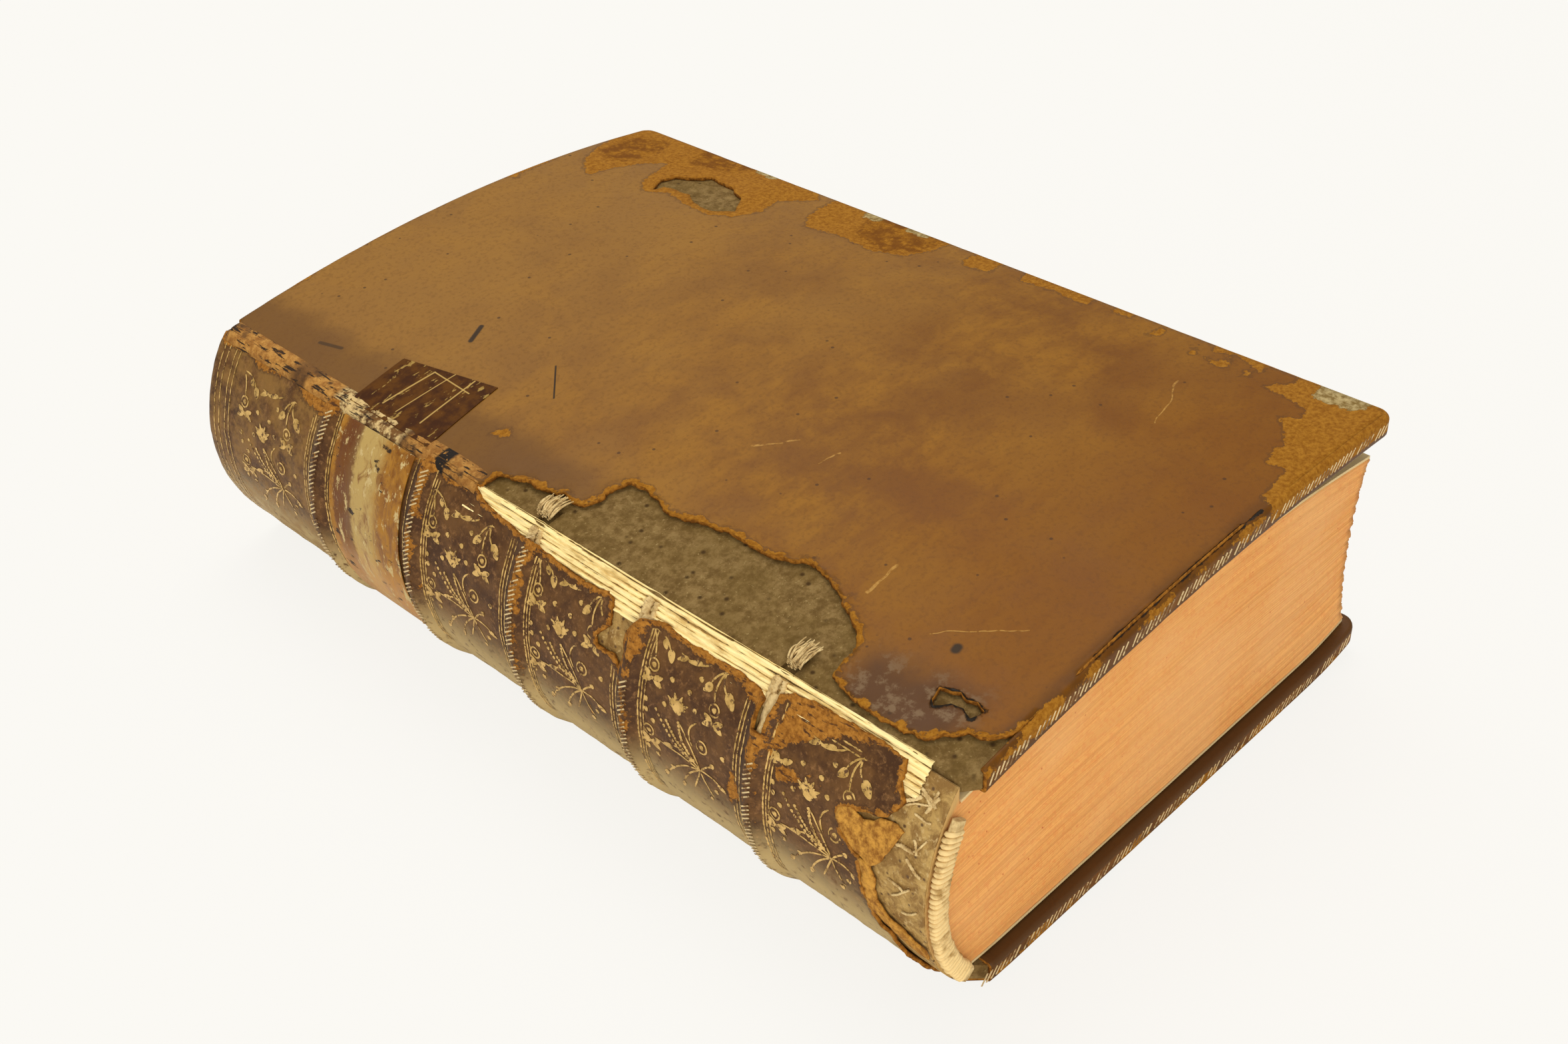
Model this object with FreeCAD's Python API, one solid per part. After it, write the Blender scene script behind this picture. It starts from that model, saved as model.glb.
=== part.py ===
import FreeCAD, Part
import math
import os

Vector = FreeCAD.Vector

# Boards. X runs from the joint to the fore-edge, Y from tail to head, Z up.
board_length = 200.0
board_width = 120.5
pasteboard = 3.4
calf = 0.8
inner_skin = 0.5
turn_in = 6.0
corner_round = 3.0
back_corner = 3.0
lower_shift = 3.0

# Warp of the upper board: height gained above the joint, at the tail and at the head
tail_crown = 6.0
tail_crown_at = 57.0
tail_fore_rise = 5.3
head_crown = 4.3
head_crown_at = 45.0
head_fore_rise = -1.1

# Curl of the lower board at its long edges
flat_from = 13.0
flat_to = 103.0
spine_curl = 0.5
tail_fore_curl = 2.4
head_fore_curl = 1.0

# Text block and its end leaves
block_thickness = 41.6
square = 2.5
fore_square = 2.3
fore_hollow = 2.6
flyleaf = 0.6
head_gape = 0.1
tail_gape = 5.0
crown_gape = 0.4

# Rounded spine, sewing and lining
spine_round = 9.2
spine_height = 27.0
spine_calf = 0.7
lining = 0.3
spine_setback = 0.3
cord_radius = 1.5
cord_rise = 0.6
cord_dip = 2.6
band_calf = 0.6
band_count = 5
end_panel = 39.5
kettle_radius = 0.4
kettle_inset = 9.0
headband_depth = 3.8
headband_thread = 0.45
bevel = 0.3
headcap = 0.6
headcap_setback = 0.3

# Cord slips laced to the boards
slip_width = 4.4
slip_thickness = 0.7
slip_length = 16.0
bare_slip_width = 3.0
bare_slip_length = 4.2
bare_slip_proud = 0.8

# Label and tape
label = 0.2
label_margin = 3.0
label_foot = 18.0
label_top = 46.0
film = 0.15
tape_margin = 1.0
tape_foot = 6.0
tape_top = 50.2
tape_start = 0.6
tape_reach = 20.0

# Clearances
swing_gap = 0.35
leaf_gap = 0.3
fit = 0.05

# Losses of leather, each drawn as (along X, along Y) on the boards
joint_loss = [
    (-5, 119), (0.4, 118.5), (3.5, 115.5), (5.1, 110), (4.5, 104), (5.2, 97), (9.4, 93.5),
    (14.5, 93.6), (16.7, 89), (14.2, 82), (15.9, 71), (16.6, 58), (19.3, 51), (18, 42.5),
    (12.6, 34), (4.5, 33), (2.4, 27), (1.0, 16), (2.6, 10.5), (5.3, 5.5), (12.2, -2), (-5, -2),
]
corner_hole = [(9.5, 16.8), (12.0, 18.6), (15.2, 15.5), (17.0, 11.6), (14.6, 10.2), (10.6, 13.6)]
head_loss = [(106, 177), (110, 181), (116, 179), (117, 170), (112, 166), (108, 170)]
tail_loss = [(117.5, 27), (125, 29), (125, 8), (119, 9), (116.5, 17)]

# Losses of leather on the spine, each drawn as (along Y, up Z)
upper_joint_tear = [
    (119, 49.6), (112, 48.2), (99, 46.4), (90, 47.6), (77, 48.4), (60, 48.9), (46, 48.6),
    (38, 49.6), (26, 48.9), (18, 50.2), (9.6, 50.2), (9.2, 48), (6.5, 45.6), (3, 45.2),
    (3, 43), (-3, 43), (-3, 60), (119, 60),
]
tail_tear = [(-3, 43), (8, 43), (12, 40.5), (13, 36), (10, 29), (7, 23), (7, 14), (8, -3), (-3, -3)]

# Sizes that follow
cover = calf + pasteboard + inner_skin
joint_height = 2 * (cover + leaf_gap) + block_thickness
band_step = (board_length - 2 * end_panel) / (band_count - 1)
bands = [end_panel + band_step * i for i in range(band_count)]
reach = 3 * board_width


# A circle through three points of the XZ plane
def circle(a, b, c):
    d = 2 * (a[0] * (b[1] - c[1]) + b[0] * (c[1] - a[1]) + c[0] * (a[1] - b[1]))
    sa, sb, sc = (p[0] ** 2 + p[1] ** 2 for p in (a, b, c))
    x = (sa * (b[1] - c[1]) + sb * (c[1] - a[1]) + sc * (a[1] - b[1])) / d
    z = (sa * (c[0] - b[0]) + sb * (a[0] - c[0]) + sc * (b[0] - a[0])) / d
    return x, z, math.hypot(a[0] - x, a[1] - z)


# Height of a circle above its centre line, or below it, at x
def circle_height(x, centre_x, centre_z, r, side):
    return centre_z + side * math.sqrt(r * r - (x - centre_x) ** 2)


# Height of the shallow arc through three points, at x
def arc_height(points, x):
    return circle_height(x, *circle(*points), 1)


# One edge through two points, or an arc through three
def run(points, y, dz):
    p = [Vector(x, y, z + dz) for x, z in points]
    if len(p) == 2:
        return Part.makeLine(p[0], p[1])
    return Part.Arc(p[0], p[1], p[2]).toShape()


# A closed section in the plane y, between a warped line and the same line lower down
def section(runs, y, top, bottom):
    edges = [run(r, y, top) for r in runs]
    edges += [run(r, y, bottom) for r in runs]
    for end in (runs[0][0], runs[-1][-1]):
        edges.append(run([(end[0], end[1] + top), (end[0], end[1] + bottom)], y, 0))
    return Part.Wire(Part.__sortEdges__(edges))


# A layer of the board that follows the warp from tail to head
def layer(warp, top, bottom):
    tail = section(warp[0], 0, top, bottom)
    head = section(warp[1], board_length, top, bottom)
    return Part.makeLoft([tail, head], True, True)


# An upright prism over an outline drawn in plan
def plan_prism(points):
    p = [Vector(x, y, -reach) for x, y in points]
    return Part.Face(Part.makePolygon(p + [p[0]])).extrude(Vector(0, 0, 2 * reach))


# A prism along X over an outline drawn as seen from the spine
def spine_prism(points):
    p = [Vector(-reach, y, z) for y, z in points]
    return Part.Face(Part.makePolygon(p + [p[0]])).extrude(Vector(2 * reach, 0, 0))


# The board's outline in plan: round fore-edge corners and corners cut back at the spine
def board_plan(x0, x1, inset):
    y0 = inset
    y1 = board_length - inset
    x1 = x1 - inset
    c = back_corner
    k = corner_round * (1 - math.sqrt(0.5))
    r = corner_round
    lines = [((x1 - r, y1), (x0 + c, y1)), ((x0 + c, y1), (x0, y1 - c)),
             ((x0, y1 - c), (x0, y0 + c)), ((x0, y0 + c), (x0 + c, y0)),
             ((x0 + c, y0), (x1 - r, y0)), ((x1, y0 + r), (x1, y1 - r))]
    arcs = [((x1 - r, y0), (x1 - k, y0 + k), (x1, y0 + r)),
            ((x1, y1 - r), (x1 - k, y1 - k), (x1 - r, y1))]
    edges = [Part.makeLine(Vector(*a, -reach), Vector(*b, -reach)) for a, b in lines]
    edges += [Part.Arc(*(Vector(*p, -reach) for p in a)).toShape() for a in arcs]
    wire = Part.Wire(Part.__sortEdges__(edges))
    return Part.Face(wire).extrude(Vector(0, 0, 2 * reach))


# The upper board's warp and the lower board's, each at the tail and at the head
upper_tail_arc = [(0, joint_height), (tail_crown_at, joint_height + tail_crown),
                  (board_width, joint_height + tail_fore_rise)]
upper_head_arc = [(0, joint_height), (head_crown_at, joint_height + head_crown),
                  (board_width, joint_height + head_fore_rise)]
upper_warp = [[upper_tail_arc], [upper_head_arc]]


# The lower board lies flat and curls up a little at the spine and the fore-edge
def lower_runs(fore_curl):
    near = (lower_shift + flat_from) / 2
    far = (flat_to + board_width) / 2
    return [[(lower_shift, cover + spine_curl), (near, cover + spine_curl / 4), (flat_from, cover)],
            [(flat_from, cover), (flat_to, cover)],
            [(flat_to, cover), (far, cover + fore_curl / 4), (board_width, cover + fore_curl)]]


lower_warp = [lower_runs(tail_fore_curl), lower_runs(head_fore_curl)]

# Centre and radius of the rounded spine, through both joints and the middle of the back
upper_end = (-swing_gap, joint_height - spine_setback)
lower_end = (lower_shift - swing_gap, spine_curl + spine_setback)
spine_mid = (-spine_round, spine_height)
cx, cz, spine_radius = circle(upper_end, spine_mid, lower_end)
block_radius = spine_radius - spine_calf - lining

# Centre and radius of the sewing cords, which dip below the calf at the joints
cord_mid = (spine_mid[0] + spine_calf + lining - cord_rise, spine_height)
cord_x, cord_z, cord_line = circle((upper_end[0], upper_end[1] - cord_dip), cord_mid,
                                   (lower_end[0], lower_end[1] + cord_dip))


# The space of the spine, clear of both boards
def spine_space():
    p = [(-reach, reach), (-swing_gap, reach), (-swing_gap, spine_height),
         (lower_end[0], spine_height), (lower_end[0], -reach), (-reach, -reach)]
    wire = Part.makePolygon([Vector(x, -reach, z) for x, z in p + [p[0]]])
    return Part.Face(wire).extrude(Vector(0, 3 * reach, 0))


# Where a turned piece of a given inner radius ends beside each board, in degrees about the centre
def spine_ends(x, r):
    top = math.degrees(math.acos((upper_end[0] - fit - x) / r))
    foot = 360 - math.degrees(math.acos((lower_end[0] - fit - x) / r))
    return top, foot


# Move a turned piece from an upright axis to an axis along Y through a centre
def place(shape, x, z, y, start):
    a = math.radians(start)
    out = Vector(math.cos(a), 0, math.sin(a))
    along = Vector(-math.sin(a), 0, math.cos(a))
    turned = FreeCAD.Rotation(out, along, Vector(0, -1, 0), "ZXY")
    shape.Placement = FreeCAD.Placement(Vector(x, y, z), turned)
    return shape


# A round rod bent along the back, its ends clear of both boards
def spine_rod(x, z, r, y, radius):
    top, foot = spine_ends(x, r - radius)
    ring = Part.makeTorus(r, radius, Vector(0, 0, 0), Vector(0, 0, 1), 0, 360, foot - top)
    return place(ring, x, z, y, top)


# A pie of the back's circle between two heights along Y
def spine_pie(r, y0, y1, top, foot):
    pie = Part.makeCylinder(r, y1 - y0, Vector(0, 0, 0), Vector(0, 0, 1), foot - top)
    return place(pie, cx, cz, y1, top)


# A plain shell of the back between two radii and two heights along Y
def spine_shell(r0, r1, y0, y1):
    top, foot = spine_ends(cx, r0)
    return spine_pie(r1, y0, y1, top, foot).cut(spine_pie(r0, y0, y1, 0, 360))


# A bar with bevelled edges bent along the back
def spine_bar(r0, r1, y0, y1):
    top, foot = spine_ends(cx, r0)
    k = bevel * (y1 - y0)
    a = math.radians(top)
    outline = [(r0 + k, y0), (r1 - k, y0), (r1, y0 + k), (r1, y1 - k),
               (r1 - k, y1), (r0 + k, y1), (r0, y1 - k), (r0, y0 + k)]
    p = [Vector(cx + r * math.cos(a), y, cz + r * math.sin(a)) for r, y in outline]
    face = Part.Face(Part.makePolygon(p + [p[0]]))
    return face.revolve(Vector(cx, 0, cz), Vector(0, -1, 0), foot - top)


def sewing_cord(y):
    return spine_rod(cord_x, cord_z, cord_line, y, cord_radius)


# Calf of the spine: one skin over the bands, turned in at the head, torn at the tail
def spine_leather(cords):
    inner = spine_radius - spine_calf
    tip = board_length - headcap_setback
    skin = spine_pie(spine_radius, headcap_setback, tip, 120, 245)
    for y in bands:
        skin = skin.fuse(spine_rod(cord_x, cord_z, cord_line, y, cord_radius + band_calf))
    skin = skin.cut(spine_pie(inner, -headcap, tip - headcap, 0, 360))
    skin = skin.cut(spine_pie(block_radius - headband_depth, 0, board_length, 0, 360))
    skin = skin.common(spine_space()).cut(cords)
    for tear in (upper_joint_tear, tail_tear):
        skin = skin.cut(spine_prism(tear))
    return skin


# Leaves, sewn and rounded, with shoulders that stand up to the boards at both joints
def text_block(inner_pieces):
    low = cover + leaf_gap + flyleaf
    fore = board_width - fore_square
    shoulder = [circle_height(upper_end[0], cx, cz, block_radius, 1),
                circle_height(lower_end[0], cx, cz, block_radius, -1)]
    back_x = cx - block_radius
    top = joint_height + tail_crown
    back = Part.Arc(Vector(upper_end[0], square, shoulder[0]), Vector(back_x, square, cz),
                    Vector(lower_end[0], square, shoulder[1])).toShape()
    hollow = Part.Arc(Vector(fore, square, 0), Vector(fore - fore_hollow, square, joint_height / 2),
                      Vector(fore, square, top)).toShape()
    lines = [((lower_end[0], shoulder[1]), (lower_end[0], 0)), ((lower_end[0], 0), (fore, 0)),
             ((fore, top), (upper_end[0], top)), ((upper_end[0], top), (upper_end[0], shoulder[0]))]
    edges = [back, hollow]
    edges += [Part.makeLine(Vector(a[0], square, a[1]), Vector(b[0], square, b[1])) for a, b in lines]
    face = Part.Face(Part.Wire(Part.__sortEdges__(edges)))
    block = face.extrude(Vector(0, board_length - 2 * square, 0))
    block = block.cut(under_block(low)).cut(over_block(-flyleaf))
    return block.cut(inner_pieces)


# The block's upper face at one end: a shallow arc just under the board, lower at the fore-edge
def block_arc(board_arc, crown_at, crown_drop, fore_drop):
    fore = board_width - fore_square
    under = cover + leaf_gap
    return [(-swing_gap, arc_height(board_arc, 0) - under),
            (crown_at, arc_height(board_arc, crown_at) - under - crown_drop),
            (fore, arc_height(board_arc, fore) - under - fore_drop)]


block_warp = [[block_arc(upper_tail_arc, head_crown_at, crown_gape, tail_gape)],
              [block_arc(upper_head_arc, head_crown_at, head_gape, head_gape)]]


# Space above the block's upper face, clear of the raised shoulder
def over_block(offset):
    return layer(block_warp, offset + 3 * tail_crown, offset)


# Space below the block's lower face, which follows the lower board and ends at the shoulder
def under_block(low):
    heel = [(lower_end[0], cover + spine_curl), (lower_shift, cover + spine_curl)]
    return layer([[heel] + runs for runs in lower_warp], low - cover, -2 * cover)


# The outline of the blank leaves at the front or back of the block
def leaf_outline(x0):
    x1 = board_width - fore_square
    return plan_prism([(x0, square), (x1, square), (x1, board_length - square),
                       (x0, board_length - square)])


def front_flyleaf():
    return layer(block_warp, 0, -flyleaf).common(leaf_outline(fit))


def back_flyleaf():
    low = leaf_gap + flyleaf
    return layer(lower_warp, low, leaf_gap).common(leaf_outline(lower_shift + fit))


# Board, calf, turn-ins and pastedown of one cover; calf is outermost and face is -1 below, 1 above
def cover_pieces(warp, x0, face, slips, losses):
    outer = 0 if face > 0 else -cover
    inner = -cover if face > 0 else 0
    core = [outer - face * calf, inner + face * inner_skin]
    whole = layer(warp, 0, -cover).common(board_plan(x0, board_width, 0))
    board = layer(warp, max(core), min(core)).common(board_plan(x0, board_width, calf))
    paper = layer(warp, max(inner, core[1]), min(inner, core[1]))
    frame = turn_in
    paper = paper.common(plan_prism([(x0, frame), (board_width - frame, frame),
                                     (board_width - frame, board_length - frame),
                                     (x0, board_length - frame)]))
    paper = paper.common(board_plan(x0, board_width, calf))
    leather = whole.cut(board).cut(paper)
    for piece in slips:
        board = board.cut(piece)
        leather = leather.cut(piece)
    for loss in losses:
        leather = leather.cut(loss)
    return board, leather, paper


# A flattened cord end let into the board under the calf
def laced_slip(warp, x0, y, face):
    outer = -calf if face > 0 else calf - cover
    depths = (outer, outer - face * slip_thickness)
    box = Part.makeBox(slip_length, slip_width, 4 * joint_height,
                       Vector(x0 + fit, y - slip_width / 2, -joint_height))
    return layer(warp, max(depths), min(depths)).common(box)


# A frayed cord end that stands proud of the bare board
def bare_slip(y):
    box = Part.makeBox(bare_slip_length, bare_slip_width, 4 * joint_height,
                       Vector(fit, y - bare_slip_width / 2, -joint_height))
    strip = layer(upper_warp, bare_slip_proud - calf, -calf - slip_thickness)
    return strip.common(box)


# Tape on the upper board, over the calf beside the second panel
def board_tape():
    low = bands[-2] + label_margin
    high = bands[-1] - label_margin
    outline = [(tape_start, high), (0.75 * tape_reach, high + tape_margin),
               (tape_reach, low + 2 * tape_margin), (tape_start, low)]
    return layer(upper_warp, fit + film, fit).common(plan_prism(outline))


# The loss of calf that only bares the board, so that the board under it stays whole
def loss_cut(outline):
    over = layer(upper_warp, tail_crown, -calf)
    return over.common(plan_prism(outline))


pieces = {}

cords = [sewing_cord(y) for y in bands]
kettles = [spine_rod(cx, cz, block_radius - kettle_radius / 2, y, kettle_radius)
           for y in (square + kettle_inset, board_length - square - kettle_inset)]
for i, cord in enumerate(cords):
    pieces["sewing_cord_%d" % (i + 1)] = cord
pieces["kettle_stitch_tail"] = kettles[0]
pieces["kettle_stitch_head"] = kettles[1]
sewing = Part.makeCompound(cords + kettles)

pieces["text_block"] = text_block(sewing)
pieces["front_flyleaf"] = front_flyleaf()
pieces["back_flyleaf"] = back_flyleaf()

# Linings fill the panels between the cords
lining_ends = [square] + [y for band in bands for y in (band - cord_radius, band + cord_radius)]
lining_ends.append(board_length - square)
for i in range(band_count + 1):
    shell = spine_shell(block_radius, block_radius + lining, lining_ends[2 * i] + fit,
                        lining_ends[2 * i + 1] - fit)
    pieces["spine_lining_%d" % (i + 1)] = shell.cut(sewing)

pieces["spine_leather"] = spine_leather(Part.makeCompound(cords))


# A headband: a flat core wound with thread, on the edge of the leaves behind the spine
def headband(name, y0, y1):
    t = headband_thread
    inner = block_radius - headband_depth
    core = spine_bar(inner + t, block_radius - t, y0 + t, y1 - t)
    pieces[name + "_headband_core"] = core
    pieces[name + "_headband_thread"] = spine_bar(inner, block_radius, y0, y1).cut(core)


headband("tail", headcap_setback, square)
headband("head", board_length - square, board_length - headcap_setback - headcap)

# Label remnant in the second panel from the head, and the film wound over it
label_low = bands[-2] + cord_radius + band_calf + label_margin
label_high = bands[-1] - cord_radius - band_calf - label_margin
label_zone = spine_prism([(label_low, label_foot), (label_high, label_foot),
                          (label_high, label_top), (label_low, label_top)])
label_shell = spine_shell(spine_radius, spine_radius + label, label_low, label_high)
pieces["title_label"] = label_shell.common(label_zone)
tape_low = label_low - tape_margin
tape_high = label_high + tape_margin
tape_zone = spine_prism([(tape_low, tape_foot), (tape_high, tape_foot),
                         (tape_high, tape_top), (tape_low, tape_top)])
tape_shell = spine_shell(spine_radius + label, spine_radius + label + film, tape_low, tape_high)
pieces["spine_tape"] = tape_shell.common(tape_zone)

# Upper cover: slips 3 and 5 from the head are bare and frayed, slip 4 is lost
upper_slips = {1: bare_slip(bands[0]), 3: bare_slip(bands[2]),
               4: laced_slip(upper_warp, 0, bands[3], 1), 5: laced_slip(upper_warp, 0, bands[4], 1)}
for number, slip in upper_slips.items():
    pieces["upper_cord_slip_%d" % number] = slip
losses = [loss_cut(outline) for outline in (joint_loss, corner_hole, head_loss, tail_loss)]
names = ("upper_board", "upper_leather", "upper_pastedown")
pieces.update(zip(names, cover_pieces(upper_warp, 0, 1, upper_slips.values(), losses)))
pieces["board_tape"] = board_tape()

# Lower cover, whole
lower_slips = [laced_slip(lower_warp, lower_shift, y, -1) for y in bands]
for i, slip in enumerate(lower_slips):
    pieces["lower_cord_slip_%d" % (i + 1)] = slip
names = ("lower_board", "lower_leather", "lower_pastedown")
pieces.update(zip(names, cover_pieces(lower_warp, lower_shift, -1, lower_slips, [])))

# The origin goes to the middle of the whole under its lowest point
everything = Part.makeCompound(list(pieces.values())).optimalBoundingBox(False)
shift = Vector(-(everything.XMin + everything.XMax) / 2, -(everything.YMin + everything.YMax) / 2,
               -everything.ZMin)

os.makedirs("parts", exist_ok=True)
for name, shape in pieces.items():
    shape.translate(shift)
    shape.exportStep("parts/%s.step" % name)
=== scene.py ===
import bpy
import math
import numpy as np
from mathutils import Matrix, Vector, noise
from mathutils.geometry import delaunay_2d_cdt


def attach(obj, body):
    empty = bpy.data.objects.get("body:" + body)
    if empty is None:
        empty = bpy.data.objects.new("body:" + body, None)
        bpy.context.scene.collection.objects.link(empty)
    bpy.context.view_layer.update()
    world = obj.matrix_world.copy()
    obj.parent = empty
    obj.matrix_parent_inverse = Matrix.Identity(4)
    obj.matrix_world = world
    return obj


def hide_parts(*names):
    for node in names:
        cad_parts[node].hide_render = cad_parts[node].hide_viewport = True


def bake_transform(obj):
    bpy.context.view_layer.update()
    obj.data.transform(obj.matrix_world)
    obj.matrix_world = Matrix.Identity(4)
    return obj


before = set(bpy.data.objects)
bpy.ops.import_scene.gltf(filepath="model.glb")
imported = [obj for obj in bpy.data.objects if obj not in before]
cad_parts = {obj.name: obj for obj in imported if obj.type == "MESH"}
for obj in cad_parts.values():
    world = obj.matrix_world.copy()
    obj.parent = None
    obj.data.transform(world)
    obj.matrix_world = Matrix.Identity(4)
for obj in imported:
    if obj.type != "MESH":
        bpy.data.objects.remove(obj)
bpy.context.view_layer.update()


# The text block: gatherings of laid paper, sewn, rounded and backed, with edges stained
# salmon and sprinkled red. Its back spreads into shoulders that stand beside the boards.
# Lengths are in millimetres, and mesh_piece turns them into metres.
cover = 4.7
joint_x = {1: -54.8, -1: -51.8}
fore_x = 65.7
half_length = 100.0


def arc_through(a, b, c):
    d = 2 * (a[0] * (b[1] - c[1]) + b[0] * (c[1] - a[1]) + c[0] * (a[1] - b[1]))
    sa, sb, sc = (p[0] ** 2 + p[1] ** 2 for p in (a, b, c))
    x = (sa * (b[1] - c[1]) + sb * (c[1] - a[1]) + sc * (a[1] - b[1])) / d
    z = (sa * (c[0] - b[0]) + sb * (a[0] - c[0]) + sc * (b[0] - a[0])) / d
    return x, z, math.hypot(a[0] - x, a[1] - z)


def over_arc(arc, x):
    return arc[1] + np.sqrt(arc[2] ** 2 - (x - arc[0]) ** 2)


def from_tail_to_head(tail, head, y):
    k = (y + half_length) / (2 * half_length)
    return tail * (1 - k) + head * k


joint_height = 51.6
tail_arc = arc_through((-54.8, joint_height), (2.2, joint_height + 6.0), (65.7, joint_height + 5.3))
head_arc = arc_through((-54.8, joint_height), (-9.8, joint_height + 4.3), (65.7, joint_height - 1.1))


def upper_face(x, y):
    return from_tail_to_head(over_arc(tail_arc, x), over_arc(head_arc, x), y)


def lower_face(x, y):
    spine_curl = 0.5 * (np.clip(-41.8 - x, 0, 10) / 10) ** 2
    fore_curl = (np.clip(x - 48.2, 0, 17.5) / 17.5) ** 2
    return spine_curl + fore_curl * from_tail_to_head(2.4, 1.0, y)


spine_x, spine_z, spine_radius = arc_through((-55.15, 51.3), (-64.0, 27.0), (-52.15, 0.8))
spine_top = math.acos((-55.15 - spine_x) / spine_radius)
spine_foot = 2 * math.pi - math.acos((-52.15 - spine_x) / spine_radius)
back_width = (spine_foot - spine_top) * spine_radius


def on_back(u, y, r):
    a = spine_top + np.asarray(u) / spine_radius
    return np.stack([spine_x + r * np.cos(a), y + 0 * a, spine_z + r * np.sin(a)], -1)


class Shade:
    """One value in a material's node tree, on which sums are written as expressions."""

    def __init__(self, tree, out=None):
        self.tree = tree
        self.out = out

    def node(self, kind, settings=None, sockets=None, out=0):
        made = self.tree.nodes.new(kind)
        for key, value in (settings or {}).items():
            if key == "stops":
                ramp = made.color_ramp
                while len(ramp.elements) < len(value):
                    ramp.elements.new(0.5)
                for element, (place, colour) in zip(ramp.elements, value):
                    element.position = place
                    element.color = (*colour, 1)
            else:
                setattr(made, key, value)
        for key, value in (sockets or {}).items():
            if isinstance(value, Shade):
                self.tree.links.new(value.out, made.inputs[key])
            else:
                made.inputs[key].default_value = value
        return Shade(self.tree, made.outputs[out])

    def sum(self, operation, *values):
        return self.node("ShaderNodeMath", {"operation": operation}, dict(enumerate(values)))

    def __add__(self, other):
        return self.sum("ADD", self, other)

    def __sub__(self, other):
        return self.sum("SUBTRACT", self, other)

    def __rsub__(self, other):
        return self.sum("SUBTRACT", other, self)

    def __mul__(self, other):
        return self.sum("MULTIPLY", self, other)

    def __truediv__(self, other):
        return self.sum("DIVIDE", self, other)

    __radd__ = __add__
    __rmul__ = __mul__

    def most(self, other):
        return self.sum("MAXIMUM", self, other)

    def least(self, other):
        return self.sum("MINIMUM", self, other)

    def between(self, low, high):
        return self.node("ShaderNodeMapRange", {"interpolation_type": "SMOOTHSTEP"},
                         {"Value": self, "From Min": low, "From Max": high})

    def blend(self, first, second):
        colours = {}
        for key, value in ((6, first), (7, second)):
            colours[key] = value if isinstance(value, Shade) else (*value, 1)
        return self.node("ShaderNodeMix", {"data_type": "RGBA"}, {0: self, **colours}, 2)

    def stretched(self, scale, turn=0.0):
        return self.node("ShaderNodeMapping", {}, {"Vector": self, "Scale": scale,
                                                   "Rotation": (0, 0, turn)})

    def cloud(self, size, detail=4.0, rough=0.6, warp=0.0):
        return self.node("ShaderNodeTexNoise", {}, {"Vector": self, "Scale": 1000 / size,
                                                    "Detail": detail, "Roughness": rough,
                                                    "Distortion": warp})

    def specks(self, size, low, high):
        cells = self.node("ShaderNodeTexVoronoi", {}, {"Vector": self, "Scale": 1000 / size})
        return 1 - cells.between(low, high)

    def axis(self, name):
        return self.node("ShaderNodeSeparateXYZ", {}, {"Vector": self}, name)

    def line(self, start, end, width):
        a = [v * 0.001 for v in start] + [0]
        run = [(q - p) * 0.001 for p, q in zip(start, end)]
        long = run[0] ** 2 + run[1] ** 2
        flat = self.node("ShaderNodeVectorMath", {"operation": "MULTIPLY"}, {0: self, 1: (1, 1, 0)})
        off = self.node("ShaderNodeVectorMath", {"operation": "SUBTRACT"}, {0: flat, 1: a})
        dot = self.node("ShaderNodeVectorMath", {"operation": "DOT_PRODUCT"},
                        {0: off, 1: (*run, 0)}, 1)
        share = (dot / long).most(0.0).least(1.0)
        near = self.node("ShaderNodeVectorMath", {"operation": "SCALE"}, {0: (*run, 0), 3: share})
        gap = self.node("ShaderNodeVectorMath", {"operation": "DISTANCE"}, {0: off, 1: near}, 1)
        return 1 - gap.between(width * 0.0003, width * 0.0007)


def finish(name, **levels):
    made = bpy.data.materials.new(name)
    made.use_nodes = True
    shader = made.node_tree.nodes["Principled BSDF"]
    for key, level in levels.items():
        shader.inputs[key.replace("_", " ")].default_value = level
    place = Shade(made.node_tree).node("ShaderNodeTexCoord", out="Object")
    return made, place


def wire(made, relief=None, **values):
    shader = made.node_tree.nodes["Principled BSDF"]
    if relief:
        height, depth = relief
        values["Normal"] = height.node("ShaderNodeBump", {}, {"Height": height, "Distance": depth * 0.001,
                                                              "Strength": 1.0})
    for key, value in values.items():
        made.node_tree.links.new(value.out, shader.inputs[key.replace("_", " ")])


def attribute(place, name):
    return place.node("ShaderNodeAttribute", {"attribute_name": name}, {}, "Fac")


def dress(made, *names):
    for name in names:
        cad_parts[name].data.materials.clear()
        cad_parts[name].data.materials.append(made)


def mesh_piece(name, points, faces, finishes, layers=None, which=None, smooth=True):
    mesh = bpy.data.meshes.new(name)
    mesh.from_pydata((np.asarray(points) * 0.001).tolist(), [], faces)
    for made in finishes:
        mesh.materials.append(made)
    if which is not None:
        mesh.polygons.foreach_set("material_index", np.asarray(which, dtype=np.int32))
    mesh.polygons.foreach_set("use_smooth", np.full(len(mesh.polygons), smooth))
    for key, values in (layers or {}).items():
        layer = mesh.attributes.new(key, "FLOAT", "POINT")
        layer.data.foreach_set("value", np.asarray(values, dtype=np.float32))
    mesh.validate()
    mesh.update()
    piece = bpy.data.objects.new(name, mesh)
    bpy.context.scene.collection.objects.link(piece)
    return piece


def grid_faces(rows, columns, start=0, flip=False):
    faces = []
    for i in range(rows - 1):
        for j in range(columns - 1):
            a = start + i * columns + j
            quad = (a, a + 1, a + columns + 1, a + columns)
            faces.append(quad[::-1] if flip else quad)
    return faces


def mottle(points, size, seed):
    shift = Vector((seed * 7.3, seed * 3.1, seed * 5.7))
    return np.array([noise.fractal(Vector(p) / size + shift, 0.7, 2.0, 3) for p in points])


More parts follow.
